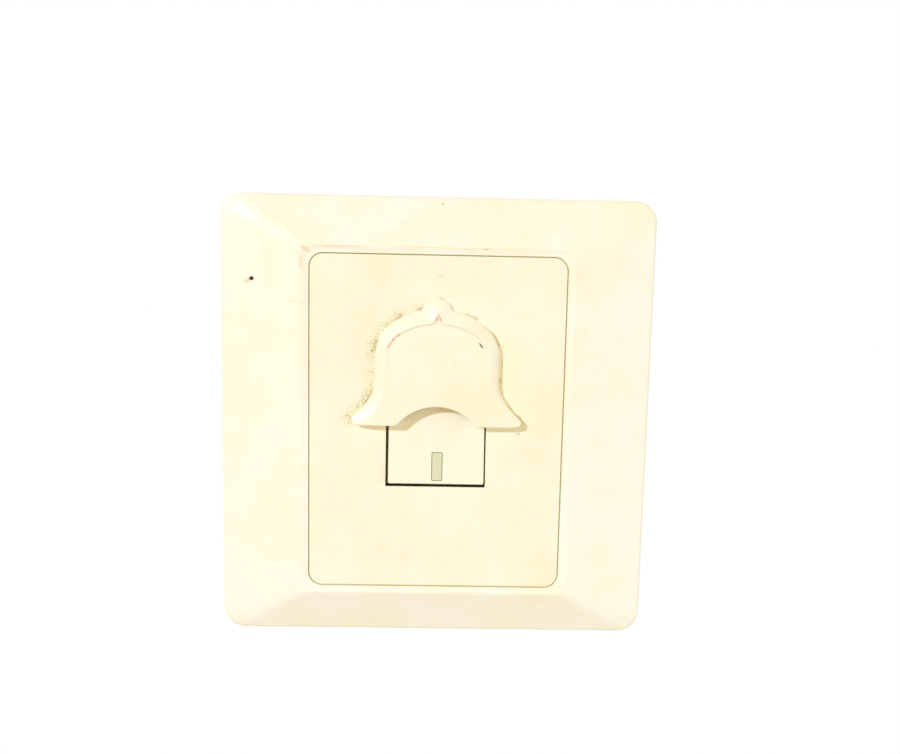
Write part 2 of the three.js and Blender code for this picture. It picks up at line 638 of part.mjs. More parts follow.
// Insert plate: face, skirt, hood, ears, tabs and screw bosses in one moulding
function insertPlate() {
  const skirtR = INSERT_CORNER_R - SKIRT_INSET;
  const face = roundedPlate(INSERT_WIDTH, INSERT_HEIGHT, INSERT_CORNER_R, insertUnderZ, FACE_Z);
  const skirt = cut(
    roundedPlate(skirtWidth, skirtHeight, skirtR, skirtEndZ, insertUnderZ + INSERT_THICKNESS / 2),
    block(
      SKIRT_THICKNESS - skirtWidth / 2, skirtWidth / 2 - SKIRT_THICKNESS,
      SKIRT_THICKNESS - skirtHeight / 2, skirtHeight / 2 - SKIRT_THICKNESS,
      0, insertUnderZ,
    ),
  );
  const keySlot = block(-slotHalf, slotHalf, slotLowY, slotHighY, 0, slotTopZ);
  const shell = cut(join(face, skirt, bellHood()), hoodHollow(), keySlot);
  const ears = bothSides(pivotEar);
  const tabs = bothSides((side) => bothSides((level) => insertTab(side, level))).flat();
  const bosses = boxScrews.map(({ x, y, rootZ }) => post(x, y, BOSS_R, bossEndZ, rootZ));
  const pilots = boxScrews.map(({ x, y }) => (
    post(x, y, BOX_SCREW_R + THREAD_GAP, 0, bossEndZ + BOX_SCREW_BITE + SEAT_GAP)
  ));
  return cut(join(shell, ...ears, ...tabs, ...bosses), ...pilots);
}

// Push key: tilted face, skirts, two pivot pins, stop lugs under the insert and a push rib
function pushKey() {
  const lowZ = keyFaceZ(KEY_LOW_Y);
  const highZ = keyFaceZ(KEY_HIGH_Y);
  const rounding = KEY_EDGE_R * (1 - Math.SQRT1_2);
  const skirtLowZ = PIVOT_Z - PIVOT_BOSS;
  const outline = [
    [KEY_LOW_Y, lowZ - KEY_EDGE_R],
    [KEY_LOW_Y + rounding, lowZ - rounding],
    [KEY_LOW_Y + KEY_EDGE_R, keyFaceZ(KEY_LOW_Y + KEY_EDGE_R)],
    [KEY_HIGH_Y, highZ],
    [KEY_HIGH_Y, skirtLowZ],
    [PIVOT_Y - REAR_SKIRT_REACH, skirtLowZ],
    [PIVOT_Y - FRONT_SKIRT_REACH, KEY_FRONT_SKIRT_Z],
    [KEY_LOW_Y, KEY_FRONT_SKIRT_Z],
  ];
  const hollow = [
    [KEY_LOW_Y + KEY_SKIRT, keyFaceZ(KEY_LOW_Y + KEY_SKIRT) - KEY_FACE],
    [KEY_HIGH_Y - KEY_SKIRT, keyFaceZ(KEY_HIGH_Y - KEY_SKIRT) - KEY_FACE],
    [KEY_HIGH_Y - KEY_SKIRT, skirtLowZ - THROUGH],
    [KEY_LOW_Y + KEY_SKIRT, skirtLowZ - THROUGH],
  ];
  const shell = cut(
    sideProfile(outline, keyLeft, keyRight),
    sideProfile(hollow, keyLeft + KEY_SKIRT, keyRight - KEY_SKIRT),
  );
  const pins = bothSides((side) => {
    const root = side < 0 ? keyLeft + KEY_SKIRT / 2 : keyRight - KEY_SKIRT / 2;
    const end = side * (slotHalf + PIVOT_LENGTH);
    const [x0, x1] = [root, end].sort((a, b) => a - b);
    return rodAlongX(PIVOT_Y, PIVOT_Z, PIVOT_R, x0, x1);
  });
  const stopTopZ = insertUnderZ - SEAT_GAP;
  const stops = bothSides((side) => block(
    side * STOP_X - STOP_WIDTH / 2, side * STOP_X + STOP_WIDTH / 2,
    slotLowY - STOP_REACH, KEY_LOW_Y + KEY_SKIRT / 2,
    stopTopZ - STOP_THICKNESS, stopTopZ,
  ));
  const rib = post(0, PLUNGER_Y, RIB_R, RIB_Z, keyFaceZ(PLUNGER_Y) - KEY_FACE / 2);
  const pocketWidth = MARKER_WIDTH + 2 * MARKER_EDGE_GAP;
  const pocketHeight = MARKER_HEIGHT + 2 * MARKER_EDGE_GAP;
  const pocket = markerPlate(pocketWidth, pocketHeight, MARKER_THICKNESS + FIT_GAP, THROUGH);
  return cut(join(shell, ...pins, ...stops, rib), pocket);
}

// A small plate with round corners lying in the key's face, from below the face to above it
function markerPlate(width, height, below, above) {
  const shape = roundedRectangle(width, height, MARKER_CORNER_R);
  const geometry = new THREE.ExtrudeGeometry(shape, {
    depth: below + above,
    bevelEnabled: false,
    curveSegments: RECTANGLE_STEPS,
  });
  geometry.translate(0, 0, -below);
  geometry.rotateX(-Math.atan(keyTilt));
  return solid(geometry.translate(MARKER_X, MARKER_Y, keyFaceZ(MARKER_Y)));
}

// Mounting plate: flat, with a window, hook slots and two adjustment slots on the box pitch
function mountingPlate() {
  const plate = roundedPlate(mountingWidth, mountingHeight, MOUNTING_CORNER_R, 0, MOUNTING_THICKNESS);
  const window = roundedPlate(
    WINDOW_WIDTH, WINDOW_HEIGHT, WINDOW_CORNER_R, -THROUGH, MOUNTING_THICKNESS + THROUGH,
  );
  const fixings = bothSides((side) => {
    const x = side * FIXING_PITCH / 2;
    return join(
      slot(x, 0, FIXING_R + SEAT_GAP, FIXING_SLOT_LENGTH, -THROUGH, MOUNTING_THICKNESS + THROUGH),
      slot(
        x, 0, FIXING_HEAD_R + SEAT_GAP, FIXING_SLOT_LENGTH,
        MOUNTING_THICKNESS - FIXING_SINK, MOUNTING_THICKNESS + THROUGH,
      ),
    );
  });
  const hookSlots = bothSides((side) => bothSides((level) => {
    const reach = HOOK_THICKNESS / 2 + SEAT_GAP;
    const half = HOOK_WIDTH / 2 + SEAT_GAP;
    return block(
      side * HOOK_X - reach, side * HOOK_X + reach,
      level * HOOK_Y - half, level * HOOK_Y + half,
      -THROUGH, MOUNTING_THICKNESS + THROUGH,
    );
  })).flat();
  return cut(plate, window, ...fixings, ...hookSlots);
}

// A slotted screw along z: the head's front at headZ, the shank on the other side of the head
function screw(x, y, headZ, headR, head, shankR, length, toward) {
  const seatZ = headZ + toward * head;
  const tipZ = seatZ + toward * length;
  const [headLow, headHigh] = [headZ, seatZ].sort((a, b) => a - b);
  const [shankLow, shankHigh] = [headZ + toward * head / 2, tipZ].sort((a, b) => a - b);
  const [driveLow, driveHigh] = [
    headZ - toward * THROUGH,
    headZ + toward * DRIVE_DEPTH,
  ].sort((a, b) => a - b);
  return cut(
    join(post(x, y, headR, headLow, headHigh), post(x, y, shankR, shankLow, shankHigh)),
    block(x - headR, x + headR, y - DRIVE_SLOT / 2, y + DRIVE_SLOT / 2, driveLow, driveHigh),
  );
}

// Box behind the wall surface that holds the contacts and terminals, open to the front
function mechanismHousing() {
  const outer = roundedPlate(BOX_WIDTH, BOX_HEIGHT, BOX_CORNER_R, boxRearZ, boxFrontZ);
  const hollow = block(
    BOX_WALL - BOX_WIDTH / 2, BOX_WIDTH / 2 - BOX_WALL,
    BOX_WALL - BOX_HEIGHT / 2, BOX_HEIGHT / 2 - BOX_WALL,
    boxFloorZ, boxFrontZ + THROUGH,
  );
  const floorIn = boxFloorZ - BOX_FLOOR / 2;
  const columns = boxScrews.map(({ x, y }) => post(x, y, COLUMN_R, floorIn, boxFrontZ));
  const springSeat = post(0, PLUNGER_Y, SPRING_SEAT_R, floorIn, SPRING_SEAT_Z);
  const shelves = bothSides((side) => block(
    side * CONTACT_X - STRIP_WIDTH / 2, side * CONTACT_X + STRIP_WIDTH / 2,
    SHELF_Y - SHELF_THICKNESS / 2, SHELF_Y + SHELF_THICKNESS / 2,
    floorIn, stripLowZ - SEAT_GAP,
  ));
  const barrier = block(
    -BARRIER_THICKNESS / 2, BARRIER_THICKNESS / 2,
    PLUNGER_Y + SPRING_SEAT_R + BARRIER_THICKNESS, boxScrewY, floorIn, stripTopZ,
  );
  const stemBore = post(
    0, PLUNGER_Y, STEM_R + RUN_GAP,
    SPRING_SEAT_Z - STEM_BITE - plungerTravel - SEAT_GAP, boxFrontZ + THROUGH,
  );
  const screwBores = boxScrews.map(({ x, y }) => join(
    post(x, y, BOX_SCREW_R + RUN_GAP, boxRearZ - THROUGH, boxFrontZ + THROUGH),
    post(x, y, BOX_SCREW_HEAD_R + SEAT_GAP, boxRearZ - THROUGH, boxRearZ + BOX_SCREW_SINK),
  ));
  const clampHoles = bothSides((side) => post(
    side * CONTACT_X, terminalY, CLAMP_HEAD_R + SEAT_GAP,
    boxRearZ - THROUGH, boxFloorZ + THROUGH,
  ));
  const wireHoles = bothSides((side) => rodAlongY(
    side * CONTACT_X, wireZ, WIRE_R,
    BOX_HEIGHT / 2 - BOX_WALL - THROUGH, BOX_HEIGHT / 2 + THROUGH,
  ));
  return cut(
    join(cut(outer, hollow), ...columns, springSeat, ...shelves, barrier),
    stemBore, ...screwBores, ...clampHoles, ...wireHoles,
  );
}

// Front cover of the box: plunger guide, keepers that close the pivot sockets, hold-down posts
function housingCover() {
  const plate = roundedPlate(BOX_WIDTH, BOX_HEIGHT, BOX_CORNER_R, coverRearZ, COVER_FRONT_Z);
  const keeperHalf = PIVOT_R - RUN_GAP;
  const keepers = bothSides((side) => {
    const [x0, x1] = [
      side * (slotHalf + SEAT_GAP),
      side * (slotHalf + EAR_THICKNESS - SEAT_GAP),
    ].sort((a, b) => a - b);
    return block(
      x0, x1, PIVOT_Y - keeperHalf, PIVOT_Y + keeperHalf,
      COVER_FRONT_Z - COVER_THICKNESS / 2, PIVOT_Z - PIVOT_R - SEAT_GAP,
    );
  });
  const holdDowns = bothSides((side) => post(
    side * CONTACT_X, HOLD_DOWN_Y, HOLD_DOWN_R,
    stripTopZ + SEAT_GAP, COVER_FRONT_Z - COVER_THICKNESS / 2,
  ));
  const guide = post(
    0, PLUNGER_Y, PLUNGER_HEAD_R + RUN_GAP, coverRearZ - THROUGH, COVER_FRONT_Z + THROUGH,
  );
  const screwHoles = boxScrews.map(({ x, y }) => (
    post(x, y, BOX_SCREW_R + RUN_GAP, coverRearZ - THROUGH, COVER_FRONT_Z + THROUGH)
  ));
  return cut(join(plate, ...keepers, ...holdDowns), guide, ...screwHoles);
}

// Plunger: turned head, stop flange and guide stem in one piece
function plunger() {
  const stemEndZ = SPRING_SEAT_Z - STEM_BITE;
  const profile = [
    [0, stemEndZ],
    [STEM_R, stemEndZ],
    [STEM_R, flangeLowZ],
    [FLANGE_R, flangeLowZ],
    [FLANGE_R, flangeTopZ],
    [PLUNGER_HEAD_R, flangeTopZ],
    [PLUNGER_HEAD_R, plungerTopZ - PLUNGER_CHAMFER],
    [PLUNGER_HEAD_R - PLUNGER_CHAMFER, plungerTopZ],
    [0, plungerTopZ],
  ].map(([radius, z]) => new THREE.Vector2(radius, z));
  const geometry = new THREE.LatheGeometry(profile, ROUND_STEPS);
  return solid(geometry.rotateX(Math.PI / 2).translate(0, PLUNGER_Y, 0));
}

// Path of the spring wire
class SpringPath extends THREE.Curve {
  getPoint(t, target = new THREE.Vector3()) {
    const angle = 2 * Math.PI * SPRING_TURNS * t;
    const low = springLowZ + SPRING_WIRE_R;
    const high = springTopZ - SPRING_WIRE_R;
    return target.set(
      SPRING_R * Math.cos(angle),
      PLUNGER_Y + SPRING_R * Math.sin(angle),
      low + t * (high - low),
    );
  }
}

// Return spring: round wire wound around the plunger's stem
function returnSpring() {
  const section = new THREE.Shape();
  section.absarc(0, 0, SPRING_WIRE_R, 0, 2 * Math.PI);
  const geometry = new THREE.ExtrudeGeometry(section, {
    steps: Math.round(SPRING_TURNS * SPRING_STEPS),
    curveSegments: SPRING_SIDES,
    bevelEnabled: false,
    extrudePath: new SpringPath(),
  });
  return solid(geometry);
}

// Bridge that the plunger carries, and the strip, tip and terminal on each side
function contactBridge() {
  const bar = block(
    -BRIDGE_LENGTH / 2, BRIDGE_LENGTH / 2,
    PLUNGER_Y - BRIDGE_WIDTH / 2, PLUNGER_Y + BRIDGE_WIDTH / 2, bridgeLowZ, bridgeTopZ,
  );
  return cut(bar, post(0, PLUNGER_Y, STEM_R + FIT_GAP, bridgeLowZ - THROUGH, bridgeTopZ + THROUGH));
}

function fixedContact(side) {
  return block(
    side * CONTACT_X - STRIP_WIDTH / 2, side * CONTACT_X + STRIP_WIDTH / 2,
    PLUNGER_Y - BRIDGE_WIDTH / 2, terminalY + TERMINAL_HEIGHT / 2, stripLowZ, stripTopZ,
  );
}

function terminalBlock(side) {
  const x = side * CONTACT_X;
  const body = block(
    x - TERMINAL_WIDTH / 2, x + TERMINAL_WIDTH / 2,
    terminalY - TERMINAL_HEIGHT / 2, terminalY + TERMINAL_HEIGHT / 2, blockLowZ, blockTopZ,
  );
  return cut(
    body,
    post(x, terminalY, CLAMP_R + THREAD_GAP, blockLowZ - THROUGH, wireZ),
    rodAlongY(x, wireZ, WIRE_R, terminalY - TERMINAL_HEIGHT, terminalY + TERMINAL_HEIGHT),
  );
}

function terminalScrew(side) {
  const headRearZ = blockLowZ - SEAT_GAP - CLAMP_HEAD;
  const length = wireZ - WIRE_R - (blockLowZ - SEAT_GAP);
  return screw(side * CONTACT_X, terminalY, headRearZ, CLAMP_HEAD_R, CLAMP_HEAD, CLAMP_R, length, 1);
}

function boxScrew({ x, y }) {
  const seatZ = boxRearZ + BOX_SCREW_SINK - SEAT_GAP;
  const length = bossEndZ + BOX_SCREW_BITE - seatZ;
  return screw(x, y, seatZ - BOX_SCREW_HEAD, BOX_SCREW_HEAD_R, BOX_SCREW_HEAD, BOX_SCREW_R, length, 1);
}

function fixingScrew(side) {
  const seatZ = MOUNTING_THICKNESS - FIXING_SINK + SEAT_GAP;
  return screw(
    side * FIXING_PITCH / 2, 0, seatZ + FIXING_HEAD,
    FIXING_HEAD_R, FIXING_HEAD, FIXING_R, FIXING_LENGTH, -1,
  );
}

// The pieces, from the front to the back
const marker = markerPlate(MARKER_WIDTH, MARKER_HEIGHT, MARKER_THICKNESS, 0);
addPiece('surround_frame', surroundFrame(), IVORY);
addPiece('insert_plate', insertPlate(), IVORY_DEEP);
addPiece('push_key', pushKey(), IVORY_DEEP);
addPiece('key_marker', marker, MARKER_GREEN);
addPiece('mounting_plate', mountingPlate(), CARRIER_GREY);
addPiece('housing_cover', housingCover(), CARRIER_GREY);
addPiece('mechanism_housing', mechanismHousing(), CARRIER_GREY);
addPiece('plunger', plunger(), CARRIER_GREY);
addPiece('return_spring', returnSpring(), STEEL);
addPiece('contact_bridge', contactBridge(), BRASS);
boxScrews.forEach((place) => {
  addPiece(`housing_screw_${place.name}`, boxScrew(place), STEEL);
});
[['left', -1], ['right', 1]].forEach(([name, side]) => {
  const x = side * CONTACT_X;
  addPiece(`fixing_screw_${name}`, fixingScrew(side), STEEL);
  addPiece(`bridge_tip_${name}`, post(x, PLUNGER_Y, TIP_R, movingTipLowZ, movingTipTopZ), SILVER);
  addPiece(`fixed_tip_${name}`, post(x, PLUNGER_Y, TIP_R, fixedTipLowZ, fixedTipTopZ), SILVER);
  addPiece(`fixed_contact_${name}`, fixedContact(side), BRASS);
  addPiece(`terminal_block_${name}`, terminalBlock(side), BRASS);
  addPiece(`terminal_screw_${name}`, terminalScrew(side), STEEL);
});

part.rotation.x = Math.PI / 2;

export default part;
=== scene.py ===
# A wall-mounted doorbell push in ivory plastic, dressed around its packed construction.
# Sizes are in millimetres, drawn face-on: x right, y up, z out of the wall, wall surface at z = 0.
import math

import bmesh
import bpy
import numpy as np
from mathutils import Matrix, Vector
from mathutils.geometry import delaunay_2d_cdt


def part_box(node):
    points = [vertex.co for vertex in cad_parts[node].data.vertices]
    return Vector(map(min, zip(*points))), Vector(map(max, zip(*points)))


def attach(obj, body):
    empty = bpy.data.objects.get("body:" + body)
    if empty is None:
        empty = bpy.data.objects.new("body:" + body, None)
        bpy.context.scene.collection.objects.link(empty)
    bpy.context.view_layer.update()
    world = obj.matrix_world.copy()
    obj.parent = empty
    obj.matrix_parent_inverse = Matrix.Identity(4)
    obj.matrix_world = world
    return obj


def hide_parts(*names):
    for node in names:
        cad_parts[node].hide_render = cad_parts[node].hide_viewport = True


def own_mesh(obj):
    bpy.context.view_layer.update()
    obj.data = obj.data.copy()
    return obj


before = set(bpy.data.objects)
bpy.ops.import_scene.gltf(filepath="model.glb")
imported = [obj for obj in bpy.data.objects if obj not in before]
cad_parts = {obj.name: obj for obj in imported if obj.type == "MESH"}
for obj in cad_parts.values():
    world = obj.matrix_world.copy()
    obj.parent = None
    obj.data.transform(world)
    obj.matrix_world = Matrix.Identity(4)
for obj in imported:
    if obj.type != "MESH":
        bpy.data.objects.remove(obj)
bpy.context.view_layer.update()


# Surround frame
# One moulding in ivory ABS: a low side wall, four slopes that meet in soft mitres, and a narrow
# land around the insert. It snaps over the mounting plate with four hooks. Years on the wall have
# yellowed it, pricked it once on the left and left grime along the land. The wall of its opening is
# painted pale olive, dust with painted shade, and the pin hole near-black, as painted shade.
MM = 0.001


def node_size(node):
    """Low and high corner of a node, face-on, in millimetres."""
    low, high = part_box(node)
    return (low.x / MM, low.z / MM, -high.y / MM), (high.x / MM, high.z / MM, -low.y / MM)


plate_high = node_size("surround_frame")[1]
insert_high = node_size("insert_plate")[1]
FIT_GAP = 0.2
FACE_Z = 8
CREST_RISE = 0.25
LAND_WIDTH = 1.25
RIM_HEIGHT = 2.75
RIM_EDGE = 0.5
RIM_ROUNDING = 0.9
PLATE_CORNER = 4.3
CREST_CORNER = 1.4
INSERT_CORNER = 2.6
WALL = 2
UNDER_DROP = 1.5
OPENING_EDGE = 0.06
LEDGE = 0.16
LEDGE_Z = 7.7
REAR_EDGE = 0.15
CORNER_STEPS = 24
HOOK_X = 31
HOOK_Y = 26
HOOK_WIDTH = 6
HOOK_THICK = 1.4
HOOK_CATCH = 1.2
HOOK_LIP = 1.3
HOOK_LIP_TOP = -0.3
PIN_X = -36.5
PIN_Y = 27.7
PIN_Z = 3.4
PIN_R = 0.4
BURR_R = 0.24
plate_x, plate_y = plate_high[0], plate_high[1]
open_x, open_y = insert_high[0] + FIT_GAP, insert_high[1] + FIT_GAP
crest_x, crest_y = open_x + LAND_WIDTH, open_y + LAND_WIDTH
crest_z = FACE_Z + CREST_RISE


def to_frame(points):
    """Face-on millimetres to the frame's metres."""
    return [(x * MM, -z * MM, y * MM) for x, y, z in points]


def rounded_ring(half_x, half_y, radius, side_z, top_z=None):
    """A level rectangle with round corners, counter-clockwise; its top may lie at another height."""
    top_z = side_z if top_z is None else top_z
    points = []
    for corner in range(4):
        sign_x = 1 if corner in (0, 3) else -1
        sign_y = 1 if corner < 2 else -1
        for step in range(CORNER_STEPS + 1):
            angle = (corner + step / CORNER_STEPS) * math.pi / 2
            points.append((
                sign_x * (half_x - radius) + radius * math.cos(angle),
                sign_y * (half_y - radius) + radius * math.sin(angle),
                side_z + math.sin(angle) ** 2 * (top_z - side_z),
            ))
    return points


def quads_between(count, size, closed):
    """Faces that join rings of the same size one after another."""
    faces = []
    for ring in range(count if closed else count - 1):
        here, above = ring * size, (ring + 1) % count * size
        for i in range(size):
            j = (i + 1) % size
            faces.append((here + i, here + j, above + j, above + i))
    return faces


def in_scene(name, data):
    """A new object in the scene."""
    thing = bpy.data.objects.new(name, data)
    bpy.context.scene.collection.objects.link(thing)
    return thing


def new_piece(name, points, faces, weld=1e-7):
    """A closed mesh from face-on millimetres, with its faces pointing out."""
    mesh = bpy.data.meshes.new(name)
    mesh.from_pydata(to_frame(points), [], faces)
    shell = bmesh.new()
    shell.from_mesh(mesh)
    bmesh.ops.remove_doubles(shell, verts=shell.verts, dist=weld)
    bmesh.ops.dissolve_degenerate(shell, edges=shell.edges, dist=weld)
    bmesh.ops.recalc_face_normals(shell, faces=shell.faces)
    shell.to_mesh(mesh)
    shell.free()
    return in_scene(name, mesh)


def stacked(name, rings):
    """A closed solid through rings of the same size, with flat ends."""
    size = len(rings[0])
    points = [point for ring in rings for point in ring]
    faces = quads_between(len(rings), size, False)
    faces += [tuple(range(size)), tuple(range(len(points) - size, len(points)))]
    return new_piece(name, points, faces)


def bake(piece):
    """Turns the piece and its modifiers into a plain mesh."""
    bpy.context.view_layer.update()
    graph = bpy.context.evaluated_depsgraph_get()
    mesh = bpy.data.meshes.new_from_object(piece.evaluated_get(graph))
    piece.modifiers.clear()
    old = piece.data
    piece.data = mesh
    bpy.data.meshes.remove(old)
    return piece


def combine(piece, tool, operation):
    """Cuts the tool from the piece, joins it on, or keeps what both share, and drops the tool."""
    change = piece.modifiers.new("combine", "BOOLEAN")
    change.operation = operation
    change.object = tool
    change.solver = "MANIFOLD"
    bake(piece)
    bpy.data.objects.remove(tool)
    return piece


def smooth(piece, degrees):
    """Smooth shading with the sharp edges kept, and large flat faces left flat."""
    for face in piece.data.polygons:
        face.use_smooth = True
    piece.data.set_sharp_from_angle(angle=math.radians(degrees))
    weighted = piece.modifiers.new("weighted", "WEIGHTED_NORMAL")
    weighted.keep_sharp = True
    weighted.weight = 60
    return bake(piece)


def prism(name, outline, z0, z1):
    """An upright prism over a convex or concave outline."""
    return stacked(name, [[(x, y, z) for x, y in outline] for z in (z0, z1)])


def block(name, x0, x1, y0, y1, z0, z1):
    return prism(name, [(x0, y0), (x1, y0), (x1, y1), (x0, y1)], z0, z1)


def quarter(steps):
    """Cosine and sine at even steps of a quarter circle."""
    angles = [step / steps * math.pi / 2 for step in range(steps + 1)]
    return [(math.cos(a), math.sin(a)) for a in angles]


def blend_point(start, corner, end, t):
    """A point on the curve from start to end that is drawn towards the corner."""
    return tuple((1 - t) ** 2 * a + 2 * t * (1 - t) * b + t * t * c for a, b, c in zip(start, corner, end))


slope_x = plate_x - RIM_EDGE - crest_x
slope_y = plate_y - RIM_EDGE - crest_y


def slope_ring(share):
    """Half sizes, corner radius and height on the slopes, from the rim at 0 to the crest at 1."""
    return (
        plate_x - RIM_EDGE - share * slope_x,
        plate_y - RIM_EDGE - share * slope_y,
        PLATE_CORNER - RIM_EDGE + share * (CREST_CORNER - PLATE_CORNER + RIM_EDGE),
        RIM_HEIGHT + share * (crest_z - RIM_HEIGHT),
        RIM_HEIGHT + share * (crest_z - RIM_HEIGHT),
    )


def surround_rings():
    rim_top = slope_ring(0.03)
    rim_foot = (plate_x, plate_y, PLATE_CORNER, RIM_HEIGHT - RIM_ROUNDING, RIM_HEIGHT - RIM_ROUNDING)
    fall = crest_z - RIM_HEIGHT
    rim_corner = (
        plate_x, plate_y, PLATE_CORNER,
        RIM_HEIGHT - RIM_EDGE * fall / slope_x,
        RIM_HEIGHT - RIM_EDGE * fall / slope_y,
    )
    crest_foot = slope_ring(0.96)
    crest_corner = slope_ring(1)
    crest_land = (crest_x - 0.5, crest_y - 0.5, CREST_CORNER, FACE_Z + 0.05, FACE_Z + 0.05)
    rings = [
        (plate_x - REAR_EDGE, plate_y - REAR_EDGE, PLATE_CORNER - REAR_EDGE, 0, 0),
        (plate_x, plate_y, PLATE_CORNER, REAR_EDGE, REAR_EDGE),
    ]
    rings += [blend_point(rim_foot, rim_corner, rim_top, step / 8) for step in range(9)]
    rings += [slope_ring(share) for share in (0.06, 0.3, 0.6, 0.9)]
    rings += [blend_point(crest_foot, crest_corner, crest_land, step / 8) for step in range(9)]
    land = (crest_x - 0.7, crest_y - 0.7, CREST_CORNER + 0.1, FACE_Z, FACE_Z)
    rings += [land, (open_x + 0.3, open_y + 0.3, INSERT_CORNER + 0.4, FACE_Z, FACE_Z)]
    for cosine, sine in quarter(4)[::-1]:
        out = OPENING_EDGE * (1 - cosine)
        z = FACE_Z - OPENING_EDGE * (1 - sine)
        rings.append((open_x + out, open_y + out, INSERT_CORNER + FIT_GAP + out, z, z))
    ledge_x, ledge_y = open_x - LEDGE, open_y - LEDGE
    under_z = crest_z - WALL
    inner_x, inner_y = plate_x - WALL, plate_y - WALL
    inner_corner = PLATE_CORNER - WALL
    rings += [
        (open_x, open_y, INSERT_CORNER + FIT_GAP, LEDGE_Z, LEDGE_Z),
        (ledge_x, ledge_y, INSERT_CORNER + FIT_GAP - LEDGE, LEDGE_Z, LEDGE_Z),
        (ledge_x, ledge_y, INSERT_CORNER + FIT_GAP - LEDGE, under_z + 0.1, under_z + 0.1),
        (open_x, open_y, INSERT_CORNER + FIT_GAP, under_z, under_z),
        (crest_x, crest_y, INSERT_CORNER + FIT_GAP, under_z, under_z),
        (inner_x, inner_y, inner_corner, RIM_HEIGHT - UNDER_DROP, RIM_HEIGHT - UNDER_DROP),
        (inner_x, inner_y, inner_corner, REAR_EDGE, REAR_EDGE),
        (inner_x + REAR_EDGE, inner_y + REAR_EDGE, inner_corner, 0, 0),
    ]
    return [rounded_ring(*ring) for ring in rings]


def hook(side, level):
    """A sprung post with a lip whose outer corner is bevelled, so that it snaps in."""
    root_x = HOOK_X + HOOK_THICK / 2 - crest_x
    root_z = crest_z - root_x * (crest_z - RIM_HEIGHT) / slope_x - WALL / 2
    inner, outer = HOOK_X - HOOK_THICK / 2, HOOK_X + HOOK_THICK / 2
    low_z, middle_z = HOOK_LIP_TOP - HOOK_LIP, HOOK_LIP_TOP - HOOK_LIP / 2
    profile = [
        (inner, root_z), (inner, low_z), (outer + 0.2, low_z), (outer + HOOK_CATCH, middle_z),
        (outer + HOOK_CATCH, HOOK_LIP_TOP), (outer, HOOK_LIP_TOP), (outer, root_z),
    ]
    ends = (level * HOOK_Y - HOOK_WIDTH / 2, level * HOOK_Y + HOOK_WIDTH / 2)
    return stacked("hook", [[(side * x, y, z) for x, z in profile] for y in ends])


def round_tool(x, y, radius, z0, z1, sides=20):
    angles = [2 * math.pi * i / sides for i in range(sides)]
    return prism("tool", [(x + radius * math.cos(a), y + radius * math.sin(a)) for a in angles], z0, z1)


def make_surround():
    """The moulding with its four hooks, and the hole that a pin has left in its left slope."""
    rings = surround_rings()
    points = [point for ring in rings for point in ring]
    piece = new_piece("surround_moulding", points, quads_between(len(rings), len(rings[0]), True))
    for side in (-1, 1):
        for level in (-1, 1):
            combine(piece, hook(side, level), "UNION")
    combine(piece, round_tool(PIN_X, PIN_Y, PIN_R, PIN_Z, FACE_Z), "DIFFERENCE")
    combine(piece, round_tool(PIN_X - 0.25, PIN_Y - 0.08, BURR_R, PIN_Z + 0.5, FACE_Z), "DIFFERENCE")
    return smooth(piece, 30)


RAGGED_GRAIN = 0.5
ANY_DEPTH = 1000
YELLOW_PATCH = 16.0
MOTTLE = 2.2
FRECKLE = 0.36
# Size of the patches that thin the painted gap shade and grime.
GAP_TONE_PATCH = 1.5
HANDLED_PATCH = 5.0
ORANGE_PEEL = 0.9


def linear(code):
    """An sRGB colour such as "f7f0d4" as linear values."""
    channels = [int(code[i:i + 2], 16) / 255 for i in (0, 2, 4)]
    return [c / 12.92 if c <= 0.04045 else ((c + 0.055) / 1.055) ** 2.4 for c in channels] + [1]


def add_node(tree, kind, inputs={}, **settings):
    """Adds a node with its settings; each input is a value or another node's output."""
    node = tree.nodes.new(kind)
    for name, value in settings.items():
        setattr(node, name, value)
    for key, value in inputs.items():
        socket = node.inputs[key]
        if isinstance(value, bpy.types.NodeSocket):
            tree.links.new(value, socket)
        else:
            socket.default_value = value
    return node


def new_material(name):
    """An empty node material: its tree, its shader and the object's own coordinates in millimetres."""
    material = bpy.data.materials.new(name)
    material.use_nodes = True
    tree = material.node_tree
    shader = tree.nodes["Principled BSDF"]
    coords = add_node(tree, "ShaderNodeTexCoord").outputs["Object"]
    scaled = add_node(tree, "ShaderNodeVectorMath", {0: coords, "Scale": 1 / MM}, operation="SCALE")
    return material, tree, shader, scaled.outputs[0]


def laid_over(tree, colour, share, low, high, code, at_low=0.0, at_high=1.0):
    """A second colour over the first, from at_low to at_high as the share goes from low to high."""
    amount = add_node(tree, "ShaderNodeMapRange", {
        "Value": share, "From Min": low, "From Max": high, "To Min": at_low, "To Max": at_high,
    }, interpolation_type="SMOOTHSTEP")
    tones = {0: amount.outputs[0], 6: colour, 7: linear(code)}
    return add_node(tree, "ShaderNodeMix", tones, data_type="RGBA").outputs[2]


def blotched(tree, place, colour, code, grain, detail, roughness, low, high, most):
    """A second colour over the first in blotches about grain millimetres across."""
    pattern = add_node(tree, "ShaderNodeTexNoise", {
        "Vector": place, "Scale": 1 / grain, "Detail": detail, "Roughness": roughness,
    })
    return laid_over(tree, colour, pattern.outputs["Fac"], low, high, code, 0.0, most)


def uneven(tree, place, grain, detail, roughness, low, high, least, most):
    """A number that drifts between least and most over blotches about grain millimetres across."""
    pattern = add_node(tree, "ShaderNodeTexNoise", {
        "Vector": place, "Scale": 1 / grain, "Detail": detail, "Roughness": roughness,
    })
    return add_node(tree, "ShaderNodeMapRange", {
        "Value": pattern.outputs["Fac"], "From Min": low, "From Max": high, "To Min": least, "To Max": most,
    }, interpolation_type="SMOOTHSTEP").outputs[0]


